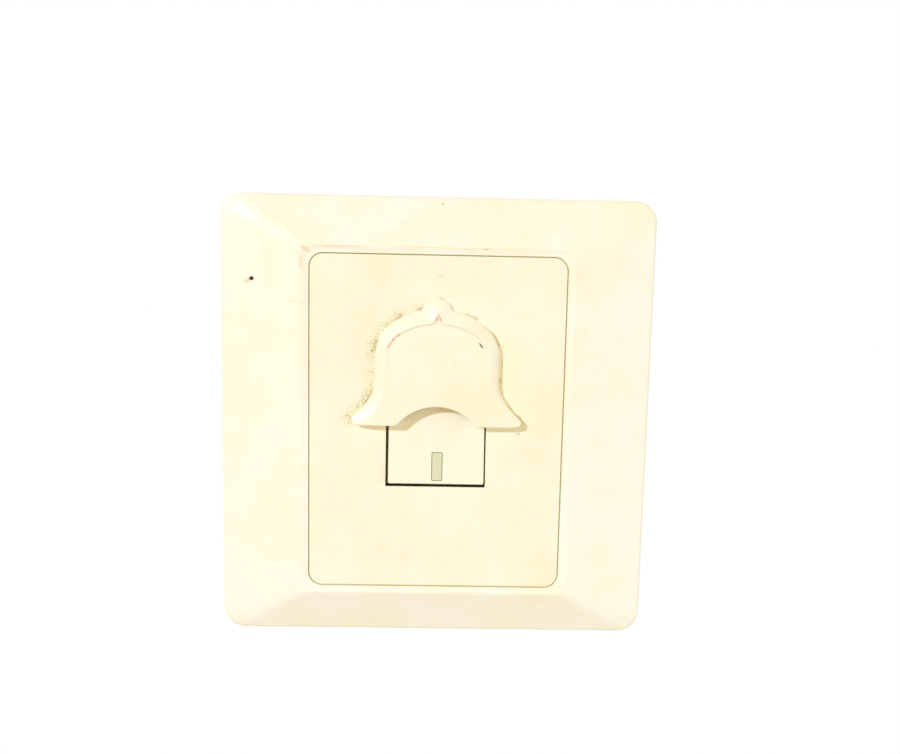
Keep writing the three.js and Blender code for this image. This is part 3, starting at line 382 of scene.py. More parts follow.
def stained(tree, place, colour, marks):
    """Lays small ragged marks on a colour: (x, y, half length, half width, degrees, colour, strength)."""
    ragged = add_node(tree, "ShaderNodeTexNoise", {
        "Vector": place, "Scale": 1 / RAGGED_GRAIN, "Detail": 3.0, "Roughness": 0.7,
    })
    for x, y, length, width, degrees, code, strength in marks:
        across = add_node(tree, "ShaderNodeMapping", {
            "Vector": place,
            "Location": (x, 0, y),
            "Rotation": (0, -math.radians(degrees), 0),
            "Scale": (length, ANY_DEPTH, width),
        }, vector_type="TEXTURE")
        reach = add_node(tree, "ShaderNodeVectorMath", {0: across.outputs[0]}, operation="LENGTH")
        reach_and_noise = {0: reach.outputs["Value"], 1: ragged.outputs["Fac"]}
        rough = add_node(tree, "ShaderNodeMath", reach_and_noise, operation="ADD")
        colour = laid_over(tree, colour, rough.outputs[0], 1.0, 1.6, code, strength, 0.0)
    return colour


def moulded_ivory(name, light, deep, speck_share, marks, gloss, gap_shade_and_grime_colour):
    """ABS moulded in a satin mould, yellowed unevenly with age: broad yellow patches, fine freckles
    of grime, and a faint orange-peel surface. Gap walls marked for it take the gap colour: painted
    shade between the parts, with some grime."""
    material, tree, shader, place = new_material(name)
    colour = blotched(tree, place, linear(light), deep, YELLOW_PATCH, 3.0, 0.6, 0.35, 0.68, 1.0)
    colour = blotched(tree, place, colour, "f3e9c0", MOTTLE, 4.0, 0.7, 0.5, 0.8, 0.35)
    fewest, most = 0.775 - speck_share, 0.82 - speck_share
    colour = blotched(tree, place, colour, "d6c48c", FRECKLE, 1.0, 0.4, fewest, most, 0.4)
    colour = stained(tree, place, colour, marks)
    # The gap colour on the marked walls is painted shade between the parts, with some grime.
    painted = add_node(tree, "ShaderNodeAttribute", attribute_name="gap_shade_and_grime").outputs["Fac"]
    gap_unevenness = uneven(tree, place, GAP_TONE_PATCH, 3.0, 0.6, 0.3, 0.7, 0.8, 1.0)
    gap_shade_and_grime_share = add_node(tree, "ShaderNodeMath", {0: painted, 1: gap_unevenness}, operation="MULTIPLY").outputs[0]
    tones = {0: gap_shade_and_grime_share, 6: colour, 7: linear(gap_shade_and_grime_colour)}
    filled = add_node(tree, "ShaderNodeMix", tones, data_type="RGBA")
    tree.links.new(filled.outputs[2], shader.inputs["Base Color"])
    handled = uneven(tree, place, HANDLED_PATCH, 3.0, 0.6, 0.3, 0.7, gloss - 0.05, gloss + 0.09)
    tree.links.new(handled, shader.inputs["Roughness"])
    peel = add_node(tree, "ShaderNodeTexNoise", {
        "Vector": place, "Scale": 1 / ORANGE_PEEL, "Detail": 2.0, "Roughness": 0.5,
    }).outputs["Fac"]
    bump = add_node(tree, "ShaderNodeBump", {"Height": peel, "Strength": 0.05, "Distance": 0.0002})
    tree.links.new(bump.outputs[0], shader.inputs["Normal"])
    shader.inputs["IOR"].default_value = 1.53
    return material


BROWN = "7c5a26"
OLIVE = "4c431d"
TAN = "d8b878"
# Pale olive for the wall of the surround's opening: dust with painted shade.
OLIVE_DUST_AND_SHADE = "c2bb72"
surround_marks = [
    (-37.2, 27.3, 1.1, 0.5, 20, TAN, 0.5),
    # Near-black over the pin hole: painted shade inside it.
    (-36.45, 27.7, 0.5, 0.42, 0, "2c1d0a", 1.0),
    (0.6, 42.85, 0.42, 0.09, 55, BROWN, 0.9),
    (9.0, 34.15, 0.8, 0.12, 0, BROWN, 0.55),
    (5.6, 34.1, 1.4, 0.12, 2, TAN, 0.5),
    (-25.6, 33.6, 1.6, 0.5, -35, "e3c48e", 0.5),
    (-26.4, 31.0, 0.6, 1.8, 0, "ead3a4", 0.45),
    (-19.0, 34.2, 6.0, 0.35, 0, "e6cd9a", 0.5),
    (-2.0, 34.3, 9.0, 0.25, 0, "e9d2a2", 0.4),
    (13.0, 34.3, 8.0, 0.2, 0, "e9d2a2", 0.35),
    (-28.2, 23.6, 2.3, 0.1, -12, "d9c493", 0.5),
    (-31.5, 36.6, 1.6, 0.25, -40, "efe0b6", 0.5),
]


def paint(piece, name, values):
    """Stores one value for each vertex."""
    layer = piece.data.attributes.new(name, "FLOAT", "POINT")
    layer.data.foreach_set("value", np.asarray(values, np.float32))


def face_on(piece):
    """The piece's vertices, face-on, in millimetres."""
    flat = np.empty(len(piece.data.vertices) * 3)
    piece.data.vertices.foreach_get("co", flat)
    x, y, z = flat.reshape(-1, 3).T / MM
    return x, z, -y


def dress(piece, material, slot, body, *nodes):
    """Gives a finished piece its material and the body it moves with, and hides the nodes it stands for."""
    piece.data.materials.clear()
    piece.data.materials.append(material)
    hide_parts(*nodes)
    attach(piece, body)


surround = make_surround()
# The wall of the opening below the face takes the pale olive: dust with painted shade in the gap.
x, y, z = face_on(surround)
in_opening = (abs(x) < open_x + 0.01) & (abs(y) < open_y + 0.01)
paint(surround, "gap_shade_and_grime", np.where(in_opening & (z < FACE_Z - 0.15), 1.0, 0.0))
surround_abs = moulded_ivory(
    "yellowed_abs_surround", "fbf6e6", "f9f2d6", 0.0, surround_marks, 0.5, OLIVE_DUST_AND_SHADE)
dress(surround, surround_abs, "surround_plastic", "base", "surround_frame")


# Insert plate with its bell hood
# Face, skirt, hood, pivot ears, snap tabs and screw bosses are one ivory ABS moulding. The hood is
# polished on its raised band and has a flat, slightly sunk panel; speckled grime has settled around
# its foot and in the crease of the panel, and a thin broken line along the foot is grime with
# painted shade. The walls of the key's slot are painted near-black: painted shade, with some grime.
HOOD_TOP = insert_high[2]
HOOD_TIP = 16.5
HOOD_TIP_R = 0.8
WAIST = 12
WAIST_Y = 9
CROWN_Y = 13.6
CROWN_RISE = 8.9
SHOULDER_X = 4.3
KNOB_HALF = 2.3
KNOB_Y = 23.1
KNOB_RISE = 1.35
ARCH_HALF = 7.73
ARCH_RISE = 3.84
ARCH_CORNER_R = 0.25
BAND_WIDTH = 2.1
BAND_CROWN_RISE = 6.4
NOTCH_HALF = 1.2
NOTCH_RISE = 1.7
PANEL_DEPTH = 0.45
PANEL_FLUSH_Y = 6
PANEL_SPREAD = 0.75
BAND_EDGE_Z = 8.95
FLARE_EDGE_RISE = 0.9
BAND_BULGE = 0.45
CREASE_R = 0.07
HOOD_EDGE = 0.28
HOOD_EDGE_STEPS = 7
FOOT_R = 0.12
OUTLINE_STEP = 0.3
INSERT_THICK = 2
# Near-black for the walls of the gaps around the key: painted shade, with some grime.
GAP_BLACK_SHADE_AND_GRIME = "2b2618"
INSERT_EDGE = 0.22
SLOT_HALF = 9.8
SLOT_LOW = -12.5
SLOT_HIGH = 7.05
SLOT_EDGE = 0.05
HOOD_WALL = 1.6
CURVE_POINTS = 30
BOSS_SIDE = 4
BOSS_LOW = 14
BOSS_HIGH = 23
ROOT = 0.4


def ellipse(cx, cy, rx, ry, start, end, steps=40):
    angles = np.radians(np.linspace(start, end, steps))
    return [(cx + rx * math.cos(a), cy + ry * math.sin(a)) for a in angles]


def drawn(*controls):
    """A Bezier curve with two, three or four control points."""
    points = []
    for t in np.linspace(0, 1, CURVE_POINTS):
        row = [np.array(c, float) for c in controls]
        while len(row) > 1:
            row = [(1 - t) * a + t * b for a, b in zip(row, row[1:])]
        points.append(tuple(row[0]))
    return points


def even_loop(points, step):
    """The same closed outline with points at even distances."""
    loop = np.array(points + points[:1])
    run = np.concatenate([[0], np.cumsum(np.linalg.norm(np.diff(loop, axis=0), axis=1))])
    keep = np.concatenate([[True], np.diff(run) > 1e-9])
    count = int(run[-1] / step)
    at = np.arange(count) * run[-1] / count
    return np.stack([np.interp(at, run[keep], loop[keep, k]) for k in (0, 1)], 1)


def mirrored(right_half):
    """Closes a right half, given counter-clockwise, with its mirror image."""
    left = [(-x, y) for x, y in reversed(right_half)]
    return right_half + left


def side_outline():
    """The bevelled sides and crown of the bell alone, run on below its lower edge."""
    half = [(0, -6.0), (HOOD_TIP + 0.1, -6.0), (HOOD_TIP + 0.1, 0)]
    return even_loop(mirrored(half + bell_side()), OUTLINE_STEP)


def bell_side():
    """Right half of the flare, waist, crown, shoulder and knob."""
    crown_end = math.degrees(math.acos(SHOULDER_X / WAIST))
    shoulder_y = CROWN_Y + CROWN_RISE * math.sin(math.radians(crown_end))
    tip_x = HOOD_TIP - HOOD_TIP_R
    flare = (tip_x + HOOD_TIP_R * math.sqrt(0.5), HOOD_TIP_R * (1 + math.sqrt(0.5)))
    wide, high = flare[0] - WAIST, WAIST_Y - flare[1]
    half = drawn(flare, (flare[0] - 0.5 * wide, flare[1] + 0.26 * high),
                 (WAIST, flare[1] + 0.53 * high), (WAIST, WAIST_Y))
    half += ellipse(0, CROWN_Y, WAIST, CROWN_RISE, 0, crown_end)
    half += drawn((SHOULDER_X, shoulder_y), (KNOB_HALF + 0.4, shoulder_y + 0.2), (KNOB_HALF, KNOB_Y))
    return half + ellipse(0, KNOB_Y, KNOB_HALF, KNOB_RISE, 0, 90)


def bell_outline():
    arch_r = (ARCH_HALF ** 2 + ARCH_RISE ** 2) / (2 * ARCH_RISE)
    arch_y = ARCH_RISE - arch_r
    arch_end = math.degrees(math.asin(-arch_y / arch_r))
    tip_x = HOOD_TIP - HOOD_TIP_R
    half = ellipse(0, arch_y, arch_r, arch_r, 90, arch_end + 2)
    half += [(ARCH_HALF + ARCH_CORNER_R, 0.03), (ARCH_HALF + 2 * ARCH_CORNER_R, 0)]
    half += ellipse(tip_x, HOOD_TIP_R, HOOD_TIP_R, HOOD_TIP_R, -90, 45)
    return even_loop(mirrored(half + bell_side()), OUTLINE_STEP)


def panel_outline():
    half = WAIST - BAND_WIDTH
    low = half + PANEL_SPREAD * (HOOD_TIP - WAIST)
    notch_start = math.degrees(math.acos(NOTCH_HALF / half))
    notch_y = CROWN_Y + BAND_CROWN_RISE * math.sin(math.radians(notch_start))
    right = [(0, -6.0), (low, -6.0), (low, -0.5)]
    right += drawn((low, 0), (low - 1.15, 2), (half + 0.05, 4.6), (half, WAIST_Y))
    right += ellipse(0, CROWN_Y, half, BAND_CROWN_RISE, 0, notch_start)
    right += drawn((NOTCH_HALF, notch_y), (NOTCH_HALF / 2, notch_y + 0.3), (0, notch_y + NOTCH_RISE))
    return even_loop(mirrored(right), OUTLINE_STEP)


def normals_of(loop):
    """Outward normals of a counter-clockwise outline."""
    run = np.roll(loop, -1, 0) - np.roll(loop, 1, 0)
    out = np.stack([run[:, 1], -run[:, 0]], 1)
    return out / np.linalg.norm(out, axis=1, keepdims=True)


def inside(points, loop):
    """Which points lie inside a closed outline."""
    x, y = points[:, 0][:, None], points[:, 1][:, None]
    ax, ay = loop[:, 0], loop[:, 1]
    bx, by = np.roll(ax, -1), np.roll(ay, -1)
    crosses = (ay > y) != (by > y)
    with np.errstate(divide="ignore", invalid="ignore"):
        at = ax + (y - ay) / (by - ay) * (bx - ax)
    return (np.sum(crosses & (x < at), axis=1) % 2) == 1


def distance(points, loop):
    """Distance from each point to a closed outline."""
    a, b = loop, np.roll(loop, -1, 0)
    nearest = np.full(len(points), 1e9)
    for start, end in zip(a, b):
        run = end - start
        t = np.clip(((points - start) @ run) / (run @ run), 0, 1)
        gap = np.linalg.norm(points - start - t[:, None] * run, axis=1)
        nearest = np.minimum(nearest, gap)
    return nearest


bell = bell_outline()
bell_sides = side_outline()
panel = panel_outline()


def fade(value, start, end):
    share = np.clip((value - start) / (end - start), 0, 1)
    return 1 - share * share * (3 - 2 * share)


def hood_height(points):
    """Height of the hood's top over a point: a convex band around a flat, sloping panel."""
    points = np.asarray(points, float)
    from_edge = distance(points, bell_sides)
    from_panel = distance(points, panel)
    in_panel = inside(points, panel)
    share = from_edge / (from_edge + from_panel + 1e-9)
    edge_z = BAND_EDGE_Z + FLARE_EDGE_RISE * fade(points[:, 1], 1.5, 7)
    below = (HOOD_TOP - edge_z) * (1 - share - BAND_BULGE * share * (1 - share))
    band = HOOD_TOP - (np.hypot(below, CREASE_R) - CREASE_R)
    deepest = CROWN_Y + BAND_CROWN_RISE - PANEL_FLUSH_Y
    fall = PANEL_DEPTH * np.clip(points[:, 1] - PANEL_FLUSH_Y, 0, None) / deepest
    step = np.clip(from_panel / 0.5, 0, 1)
    sunk = HOOD_TOP - fall * step * step * (3 - 2 * step)
    return np.where(in_panel, sunk, band)


def triangulated(outer, hole, extra):
    """Triangles between an outer outline and a hole, through extra points."""
    points, edges = [], []
    for chain in (outer, hole):
        if chain is None:
            continue
        start = len(points)
        points += [tuple(p) for p in chain]
        edges += [(start + i, start + (i + 1) % len(chain)) for i in range(len(chain))]
    points += [tuple(p) for p in extra]
    result = delaunay_2d_cdt([Vector(p) for p in points], edges, [], 0, 1e-6)
    flat = np.array([tuple(v) for v in result[0]])
    faces = np.array(result[2])
    middles = flat[faces].mean(1)
    keep = inside(middles, np.asarray(outer))
    if hole is not None:
        keep &= ~inside(middles, np.asarray(hole))
    return flat, [tuple(int(i) for i in f) for f in faces[keep]]


def grid(x0, x1, y0, y1, step):
    """A staggered grid of points."""
    rows = enumerate(np.arange(y0, y1, step * 0.866))
    return np.array([(x + (k % 2) * step / 2, y) for k, y in rows for x in np.arange(x0, x1, step)])


def front_shell():
    """The solid face of the insert with the hood on it, down to the underside of the face."""
    size = len(bell)
    out = normals_of(bell)
    rim = bell - HOOD_EDGE * out
    rim_z = hood_height(rim)
    edge_z = hood_height(bell)
    levels = []
    for cosine, sine in quarter(4)[::-1]:
        levels.append((bell + FOOT_R * (1 - cosine) * out, np.full(size, FACE_Z + FOOT_R * (1 - sine))))
    for step in range(HOOD_EDGE_STEPS):
        t = step / HOOD_EDGE_STEPS
        start_z, corner_z = (1 - t) ** 2 * (edge_z - HOOD_EDGE), 2 * t * (1 - t) * edge_z
        levels.append((bell - HOOD_EDGE * t * t * out, start_z + corner_z + t * t * rim_z))
    levels.append((rim, rim_z))
    points = [(x, y, z) for loop, heights in levels for (x, y), z in zip(loop, heights)]
    faces = quads_between(len(levels), size, False)

    spread = [panel - d * normals_of(panel) for d in (-0.25, -0.1, 0, 0.07, 0.14, 0.2, 0.27, 0.36, 0.6)]
    inner = np.concatenate([*spread, grid(-HOOD_TIP, HOOD_TIP, -1, 25, 0.7)])
    inner = inner[inside(inner, rim) & (distance(inner, rim) > 0.12)]
    flat, triangles = triangulated(rim, None, inner)
    heights = hood_height(flat)
    start = len(points)
    points += [(x, y, z) for (x, y), z in zip(flat, heights)]
    faces += [tuple(start + i for i in face) for face in triangles]

    foot = bell + FOOT_R * out
    sides = [(INSERT_CORNER, FACE_Z - INSERT_THICK, 0)]
    sides += [(INSERT_CORNER - INSERT_EDGE * (1 - c), FACE_Z - INSERT_EDGE * (1 - s), INSERT_EDGE * (1 - c))
              for c, s in quarter(5)]
    rings = [rounded_ring(insert_high[0] - inset, insert_high[1] - inset, r, z) for r, z, inset in sides]
    start = len(points)
    points += [point for ring in rings for point in ring]
    size = len(rings[0])
    faces += [tuple(start + i for i in face) for face in quads_between(len(rings), size, False)]
    faces.append(tuple(start + i for i in range(size)))
    edge = [point[:2] for point in rings[-1]]
    near = grid(-21, 21, -4, 29, 0.9)
    far = grid(-24, 24, -32, 32, 4)
    extra = np.concatenate([near, far])
    extra = extra[~inside(extra, foot) & (distance(extra, foot) > 0.4)]
    extra = extra[inside(extra, np.array(edge)) & (distance(extra, np.array(edge)) > 1)]
    flat, triangles = triangulated(edge, foot, extra)
    start = len(points)
    points += [(x, y, FACE_Z) for x, y in flat]
    faces += [tuple(start + i for i in face) for face in triangles]
    return new_piece("insert_moulding", points, faces, 2e-7)


def hollow_outline():
    half = WAIST - HOOD_WALL
    crown = ellipse(0, CROWN_Y, half, CROWN_RISE - HOOD_WALL, 0, 180, 60)
    return [(-SLOT_HALF, HOOD_WALL), (SLOT_HALF, HOOD_WALL), (SLOT_HALF, WAIST_Y), (half, WAIST_Y),
            *crown, (-half, WAIST_Y), (-SLOT_HALF, WAIST_Y)]


def slot_lip():
    """Cuts a small rounding along the three open sides of the key's slot."""
    rings = []
    for cosine, sine in [(1, -2)] + quarter(4) + [(0, 3)]:
        out = SLOT_EDGE * (1 - cosine)
        z = FACE_Z - SLOT_EDGE * (1 - sine)
        low, x = SLOT_LOW - out, SLOT_HALF + out
        rings.append([(-x, low, z), (x, low, z), (x, -0.05, z), (-x, -0.05, z)])
    return stacked("tool", rings)


def copy_of(node, name):
    """A merged copy of a node's mesh, to be worked on."""
    piece = in_scene(name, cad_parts[node].data.copy())
    piece.data.materials.clear()
    shell = bmesh.new()
    shell.from_mesh(piece.data)
    bmesh.ops.remove_doubles(shell, verts=shell.verts, dist=1e-7)
    shell.to_mesh(piece.data)
    shell.free()
    for layer in [a.name for a in piece.data.attributes if not a.is_required and not a.is_internal]:
        piece.data.attributes.remove(piece.data.attributes[layer])
    return piece


def rear_of_insert():
    """Skirt, ears, tabs and bosses, with their roots reaching into the face and the hood."""
    under = FACE_Z - INSERT_THICK
    behind_face = block("tool", -30, 30, -40, 40, -5, under - 0.01)
    rear = combine(copy_of("insert_plate", "rear"), behind_face, "INTERSECT")
    for vertex in rear.data.vertices:
        if -vertex.co.y > (under - 0.02) * MM:
            on_boss = abs(vertex.co.x) < BOSS_SIDE * MM and BOSS_LOW * MM < vertex.co.z < BOSS_HIGH * MM
            vertex.co.y = -(HOOD_TOP - HOOD_WALL / 2 if on_boss else under + ROOT) * MM
    return rear


def make_insert():
    piece = front_shell()
    below = FACE_Z - 2 * INSERT_THICK
    key_slot = block("tool", -SLOT_HALF, SLOT_HALF, SLOT_LOW, SLOT_HIGH, below, FACE_Z + 0.3)
    combine(piece, key_slot, "DIFFERENCE")
    combine(piece, slot_lip(), "DIFFERENCE")
    combine(piece, prism("tool", hollow_outline(), below, HOOD_TOP - HOOD_WALL), "DIFFERENCE")
    combine(piece, rear_of_insert(), "UNION")
    return smooth(piece, 30)


def grime_and_shade_around_hood(piece):
    """Speckled grime outside the foot, most of it at the upper left, and a thin line along the foot, grime
    with painted shade where the hood meets the face.
    """
    x, y, z = face_on(piece)
    flat = np.stack([x, y], 1)
    gap = distance(flat, bell)
    at_face = (z < FACE_Z + 0.05) & (y > -0.5)
    outside = ~inside(flat, bell) & at_face
    on_left = fade(x, -9, 2)
    broad = fade(gap, 0.1, 3.2) * (0.35 + 0.65 * on_left)
    return np.where(outside, broad, 0.0), np.where(at_face, fade(gap, 0.15, 0.5), 0.0)


def grime_in_crease(piece):
    """Orange-brown grime in the crease of the panel, at its upper left, and in the notch."""
    x, y, z = face_on(piece)
    flat = np.stack([x, y], 1)
    gap = distance(flat, panel)
    raised = z > FACE_Z + 1
    left = fade(np.hypot(x + 8.2, (y - 16.4) * 0.9), 1.0, 3.2)
    notch = fade(np.hypot(x, y - 21.0), 0.5, 1.4)
    return np.where(raised, fade(gap, 0.05, 0.45) * np.maximum(left, notch), 0.0)


insert_marks = [
    (8.3, 15.85, 0.85, 0.16, -52, OLIVE, 1.0),
    (-12.7, 14.3, 0.35, 0.22, 40, OLIVE, 0.8),
    (-3.6, 22.6, 0.9, 0.2, 25, "b08d4a", 0.7),
    (16.2, -1.6, 0.3, 0.18, 30, BROWN, 0.6),
    (12.8, 15.4, 0.16, 0.16, 0, OLIVE, 0.5),
    (3.4, 12.2, 0.14, 0.1, 0, BROWN, 0.5),
    (0.3, 29.0, 0.5, 0.12, 10, TAN, 0.7),
]


SPECK_GRAIN = 0.22
GRIME_PATCH = 3.0


def grimy_ivory(name):
    """The same aged ABS, with speckled grime around the hood, grime and painted shade along its foot, and
    grime in the panel's crease.
    """
    material = moulded_ivory(name, "fbf4dc", "f9f0cf", 0.015, insert_marks, 0.34, GAP_BLACK_SHADE_AND_GRIME)
    tree = material.node_tree
    shader = tree.nodes["Principled BSDF"]
    colour = shader.inputs["Base Color"].links[0].from_socket
    place = tree.nodes["Vector Math"].outputs[0]
    speckles, foot_shade_and_grime, crease_grime = (
        add_node(tree, "ShaderNodeAttribute", attribute_name=layer).outputs["Fac"]
        for layer in ("speckle", "foot_line", "crease")
    )
    coarse = add_node(tree, "ShaderNodeTexNoise", {
        "Vector": place, "Scale": 1 / SPECK_GRAIN, "Detail": 1.0, "Roughness": 0.5,
    }).outputs["Fac"]
    patchy = add_node(tree, "ShaderNodeTexNoise", {
        "Vector": place, "Scale": 1 / GRIME_PATCH, "Detail": 2.0, "Roughness": 0.5,
    }).outputs["Fac"]
    haze = add_node(tree, "ShaderNodeMath", {0: speckles, 1: patchy}, operation="MULTIPLY").outputs[0]
    colour = laid_over(tree, colour, haze, 0.1, 0.7, "e8e0a4", 0.0, 0.45)
    near = add_node(tree, "ShaderNodeMath", {0: haze, 1: 0.42}, operation="MULTIPLY").outputs[0]
    dots = add_node(tree, "ShaderNodeMath", {0: coarse, 1: near}, operation="ADD").outputs[0]
    colour = laid_over(tree, colour, dots, 0.72, 0.84, "8f9450", 0.0, 0.6)
    # A broken orange-tan line along the hood's foot: grime with painted shade where the hood meets the
    # face.
    broken = add_node(tree, "ShaderNodeMapRange", {
        "Value": patchy, "From Min": 0.4, "From Max": 0.65,
    }, interpolation_type="SMOOTHSTEP").outputs[0]
    line = add_node(tree, "ShaderNodeMath", {0: foot_shade_and_grime, 1: broken}, operation="MULTIPLY").outputs[0]
    colour = laid_over(tree, colour, line, 0.2, 0.9, "c99a58", 0.0, 0.5)
    grains = add_node(tree, "ShaderNodeMapRange", {
        "Value": coarse, "From Min": 0.35, "From Max": 0.6, "To Min": 0.1,
    }, interpolation_type="SMOOTHSTEP").outputs[0]
    stain = add_node(tree, "ShaderNodeMath", {0: crease_grime, 1: grains}, operation="MULTIPLY").outputs[0]
    colour = laid_over(tree, colour, stain, 0.15, 0.8, "d9964a", 0.0, 0.8)
    tree.links.new(colour, shader.inputs["Base Color"])
    return material


insert = make_insert()
# The foot line is grime with painted shade where the hood meets the face; the speckles are grime.
speckle, foot_line = grime_and_shade_around_hood(insert)
paint(insert, "speckle", speckle)
paint(insert, "foot_line", foot_line)
paint(insert, "crease", grime_in_crease(insert))
# The walls of the key's slot below the face take the near-black: painted shade in the gap, with some grime.
x, y, z = face_on(insert)
in_slot = (abs(x) < SLOT_HALF + 0.01) & (y > SLOT_LOW - 0.01) & (y < 0.5)
paint(insert, "gap_shade_and_grime", np.where(in_slot & (z < FACE_Z - 0.03), 1.0, 0.0))
dress(insert, grimy_ivory("yellowed_abs_insert"), "insert_plastic", "base", "insert_plate")


# Push key and its marker
# The key is ivory ABS, tilted so that its lower edge stands proud, with softly rounded edges; it
# rocks on two pins under the hood. A pale green glow strip is pressed into a pocket in its face.
KEY_EDGE = 0.25
KEY_CORNER = 0.45
KEY_FLUSH_Y = -1
KEY_PROUD = 0.8
KEY_WIDTH = 18.8
KEY_SHIFT = 0.12
KEY_LOW_Y = -11.85
KEY_HIGH_Y = 6.8
KEY_FREE = 0.002
KEY_FOOT_Z = 5.75
FOOT_SPACE = 20
SHARP_EDGE = 40
key_tilt = KEY_PROUD / (KEY_FLUSH_Y - KEY_LOW_Y)


def key_face_z(y):
    return FACE_Z + (KEY_FLUSH_Y - y) * key_tilt


def key_envelope():
    """The space that the key may fill: wide below, and a rounded block up to the tilted face."""
    half_x = KEY_WIDTH / 2 + KEY_FREE
    half_y = (KEY_HIGH_Y - KEY_LOW_Y) / 2 + KEY_FREE
    middle_y = (KEY_HIGH_Y + KEY_LOW_Y) / 2
    rings = [rounded_ring(FOOT_SPACE, FOOT_SPACE, 1, z) for z in (0, KEY_FOOT_Z)]
    rings.append(rounded_ring(half_x, half_y, KEY_CORNER, KEY_FOOT_Z))
    for cosine, sine in quarter(6):
        inset = KEY_EDGE * (1 - cosine)
        ring = rounded_ring(half_x - inset, half_y - inset, max(KEY_CORNER - inset, 0.05), 0)
        drop = KEY_EDGE * (1 - sine) - KEY_FREE
        rings.append([(x, y, key_face_z(y + middle_y) - drop) for x, y, z in ring])
    return stacked("tool", [[(x + KEY_SHIFT, y + middle_y, z) for x, y, z in ring] for ring in rings])


def make_key():
    piece = combine(copy_of("push_key", "key_moulding"), key_envelope(), "INTERSECT")
    return smooth(piece, 30)


def softened(node, name, width):
    """A copy of a node with its sharp edges slightly rounded."""
    piece = copy_of(node, name)
    shell = bmesh.new()
    shell.from_mesh(piece.data)
    bmesh.ops.dissolve_limit(shell, angle_limit=math.radians(1), verts=shell.verts, edges=shell.edges)
    shell.to_mesh(piece.data)
    shell.free()
    bevel = piece.modifiers.new("bevel", "BEVEL")
    bevel.width = width * MM
    bevel.segments = 2
    bevel.limit_method = "ANGLE"
    bevel.angle_limit = math.radians(SHARP_EDGE)
    bevel.harden_normals = False
    bevel.miter_outer = "MITER_ARC"
    bake(piece)
    return smooth(piece, 35)


key_marks = [
    (8.6, -0.6, 0.25, 0.15, 20, TAN, 0.7),
    (-4.0, -2.2, 0.14, 0.1, 0, TAN, 0.8),
    (3.2, -3.6, 0.12, 0.1, 0, TAN, 0.7),
]
key = make_key()
# The key's sides, from about 0.35 mm below its face and fully from 0.9 mm, take the near-black: painted
# shade in the gap, with some grime.
x, y, z = face_on(key)
edge_drop = key_face_z(y) - z
on_side = (abs(x - KEY_SHIFT) > KEY_WIDTH / 2 - 0.05) | (y < KEY_LOW_Y + 0.05)
paint(key, "gap_shade_and_grime", np.where(on_side, fade(-edge_drop, -0.9, -0.35), 0.0))
key_abs = moulded_ivory("yellowed_abs_key", "fcf5df", "faf1d6", 0.01, key_marks, 0.33, GAP_BLACK_SHADE_AND_GRIME)
dress(key, key_abs, "key_plastic", "key", "push_key")


CLOUD = 1.4


def glow_plastic(name):
    """Phosphorescent acrylic: pale grey-green, glossy, slightly cloudy."""
    material, tree, shader, place = new_material(name)
    cloud = add_node(tree, "ShaderNodeTexNoise", {
        "Vector": place, "Scale": 1 / CLOUD, "Detail": 3.0, "Roughness": 0.6,
    }).outputs["Fac"]
    colour = laid_over(tree, linear("d9dab4"), cloud, 0.3, 0.7, "dfdcb6")
    tree.links.new(colour, shader.inputs["Base Color"])
    gloss = add_node(tree, "ShaderNodeMapRange", {
        "Value": cloud, "From Min": 0.3, "From Max": 0.7, "To Min": 0.22, "To Max": 0.34,
    }, interpolation_type="SMOOTHSTEP").outputs[0]
    tree.links.new(gloss, shader.inputs["Roughness"])
    shader.inputs["IOR"].default_value = 1.49
    return material


marker = softened("key_marker", "glow_strip", 0.08)
dress(marker, glow_plastic("phosphorescent_acrylic"), "marker_plastic", "key", "key_marker")


# Carrier, box and plunger
# Behind the front are plain mouldings in warm grey plastic: the mounting plate on the wall box, the
# mechanism box with its cover, and the plunger that the key pushes. None of them is polished.
FLOW_MARK = 6.0
DUST = 1.2
SPARK_GRAIN = 0.25


def moulded_grey(name, light, deep):
    """Glass-filled nylon from a sparked mould: matt, with a fine grain and faint flow marks."""
    material, tree, shader, place = new_material(name)
    stretched = add_node(tree, "ShaderNodeMapping", {"Vector": place, "Scale": (1, 1, 0.25)}).outputs[0]
    flow = add_node(tree, "ShaderNodeTexNoise", {
        "Vector": stretched, "Scale": 1 / FLOW_MARK, "Detail": 3.0, "Roughness": 0.6,
    }).outputs["Fac"]
    colour = laid_over(tree, linear(light), flow, 0.35, 0.65, deep)
    colour = blotched(tree, place, colour, "b5aa8c", DUST, 4.0, 0.7, 0.55, 0.8, 0.5)
    tree.links.new(colour, shader.inputs["Base Color"])
    matt = add_node(tree, "ShaderNodeMapRange", {
        "Value": flow, "From Min": 0.3, "From Max": 0.7, "To Min": 0.5, "To Max": 0.66,
    }, interpolation_type="SMOOTHSTEP").outputs[0]
    tree.links.new(matt, shader.inputs["Roughness"])
    grain = add_node(tree, "ShaderNodeTexNoise", {
        "Vector": place, "Scale": 1 / SPARK_GRAIN, "Detail": 2.0, "Roughness": 0.6,
    }).outputs["Fac"]
    bump = add_node(tree, "ShaderNodeBump", {"Height": grain, "Strength": 0.25, "Distance": 0.0001})
    tree.links.new(bump.outputs[0], shader.inputs["Normal"])
    shader.inputs["IOR"].default_value = 1.52
    return material


carrier_grey = moulded_grey("glass_filled_nylon", "d9d4c5", "cfc9b8")
for node, name, width, body in (
    ("mounting_plate", "mounting_plate_moulding", 0.2, "base"),
    ("mechanism_housing", "mechanism_box_moulding", 0.2, "base"),
    ("housing_cover", "box_cover_moulding", 0.15, "base"),
    ("plunger", "plunger_moulding", 0.15, "plunger"),
):
    dress(softened(node, name, width), carrier_grey, "carrier_plastic", body, node)


# Contacts and terminals
# Strips and the bridge are stamped brass, the terminals are cut from brass bar, and the tips are
# silver rivets pressed into them. Handling and air have dulled the brass unevenly.
TARNISH = 3.0


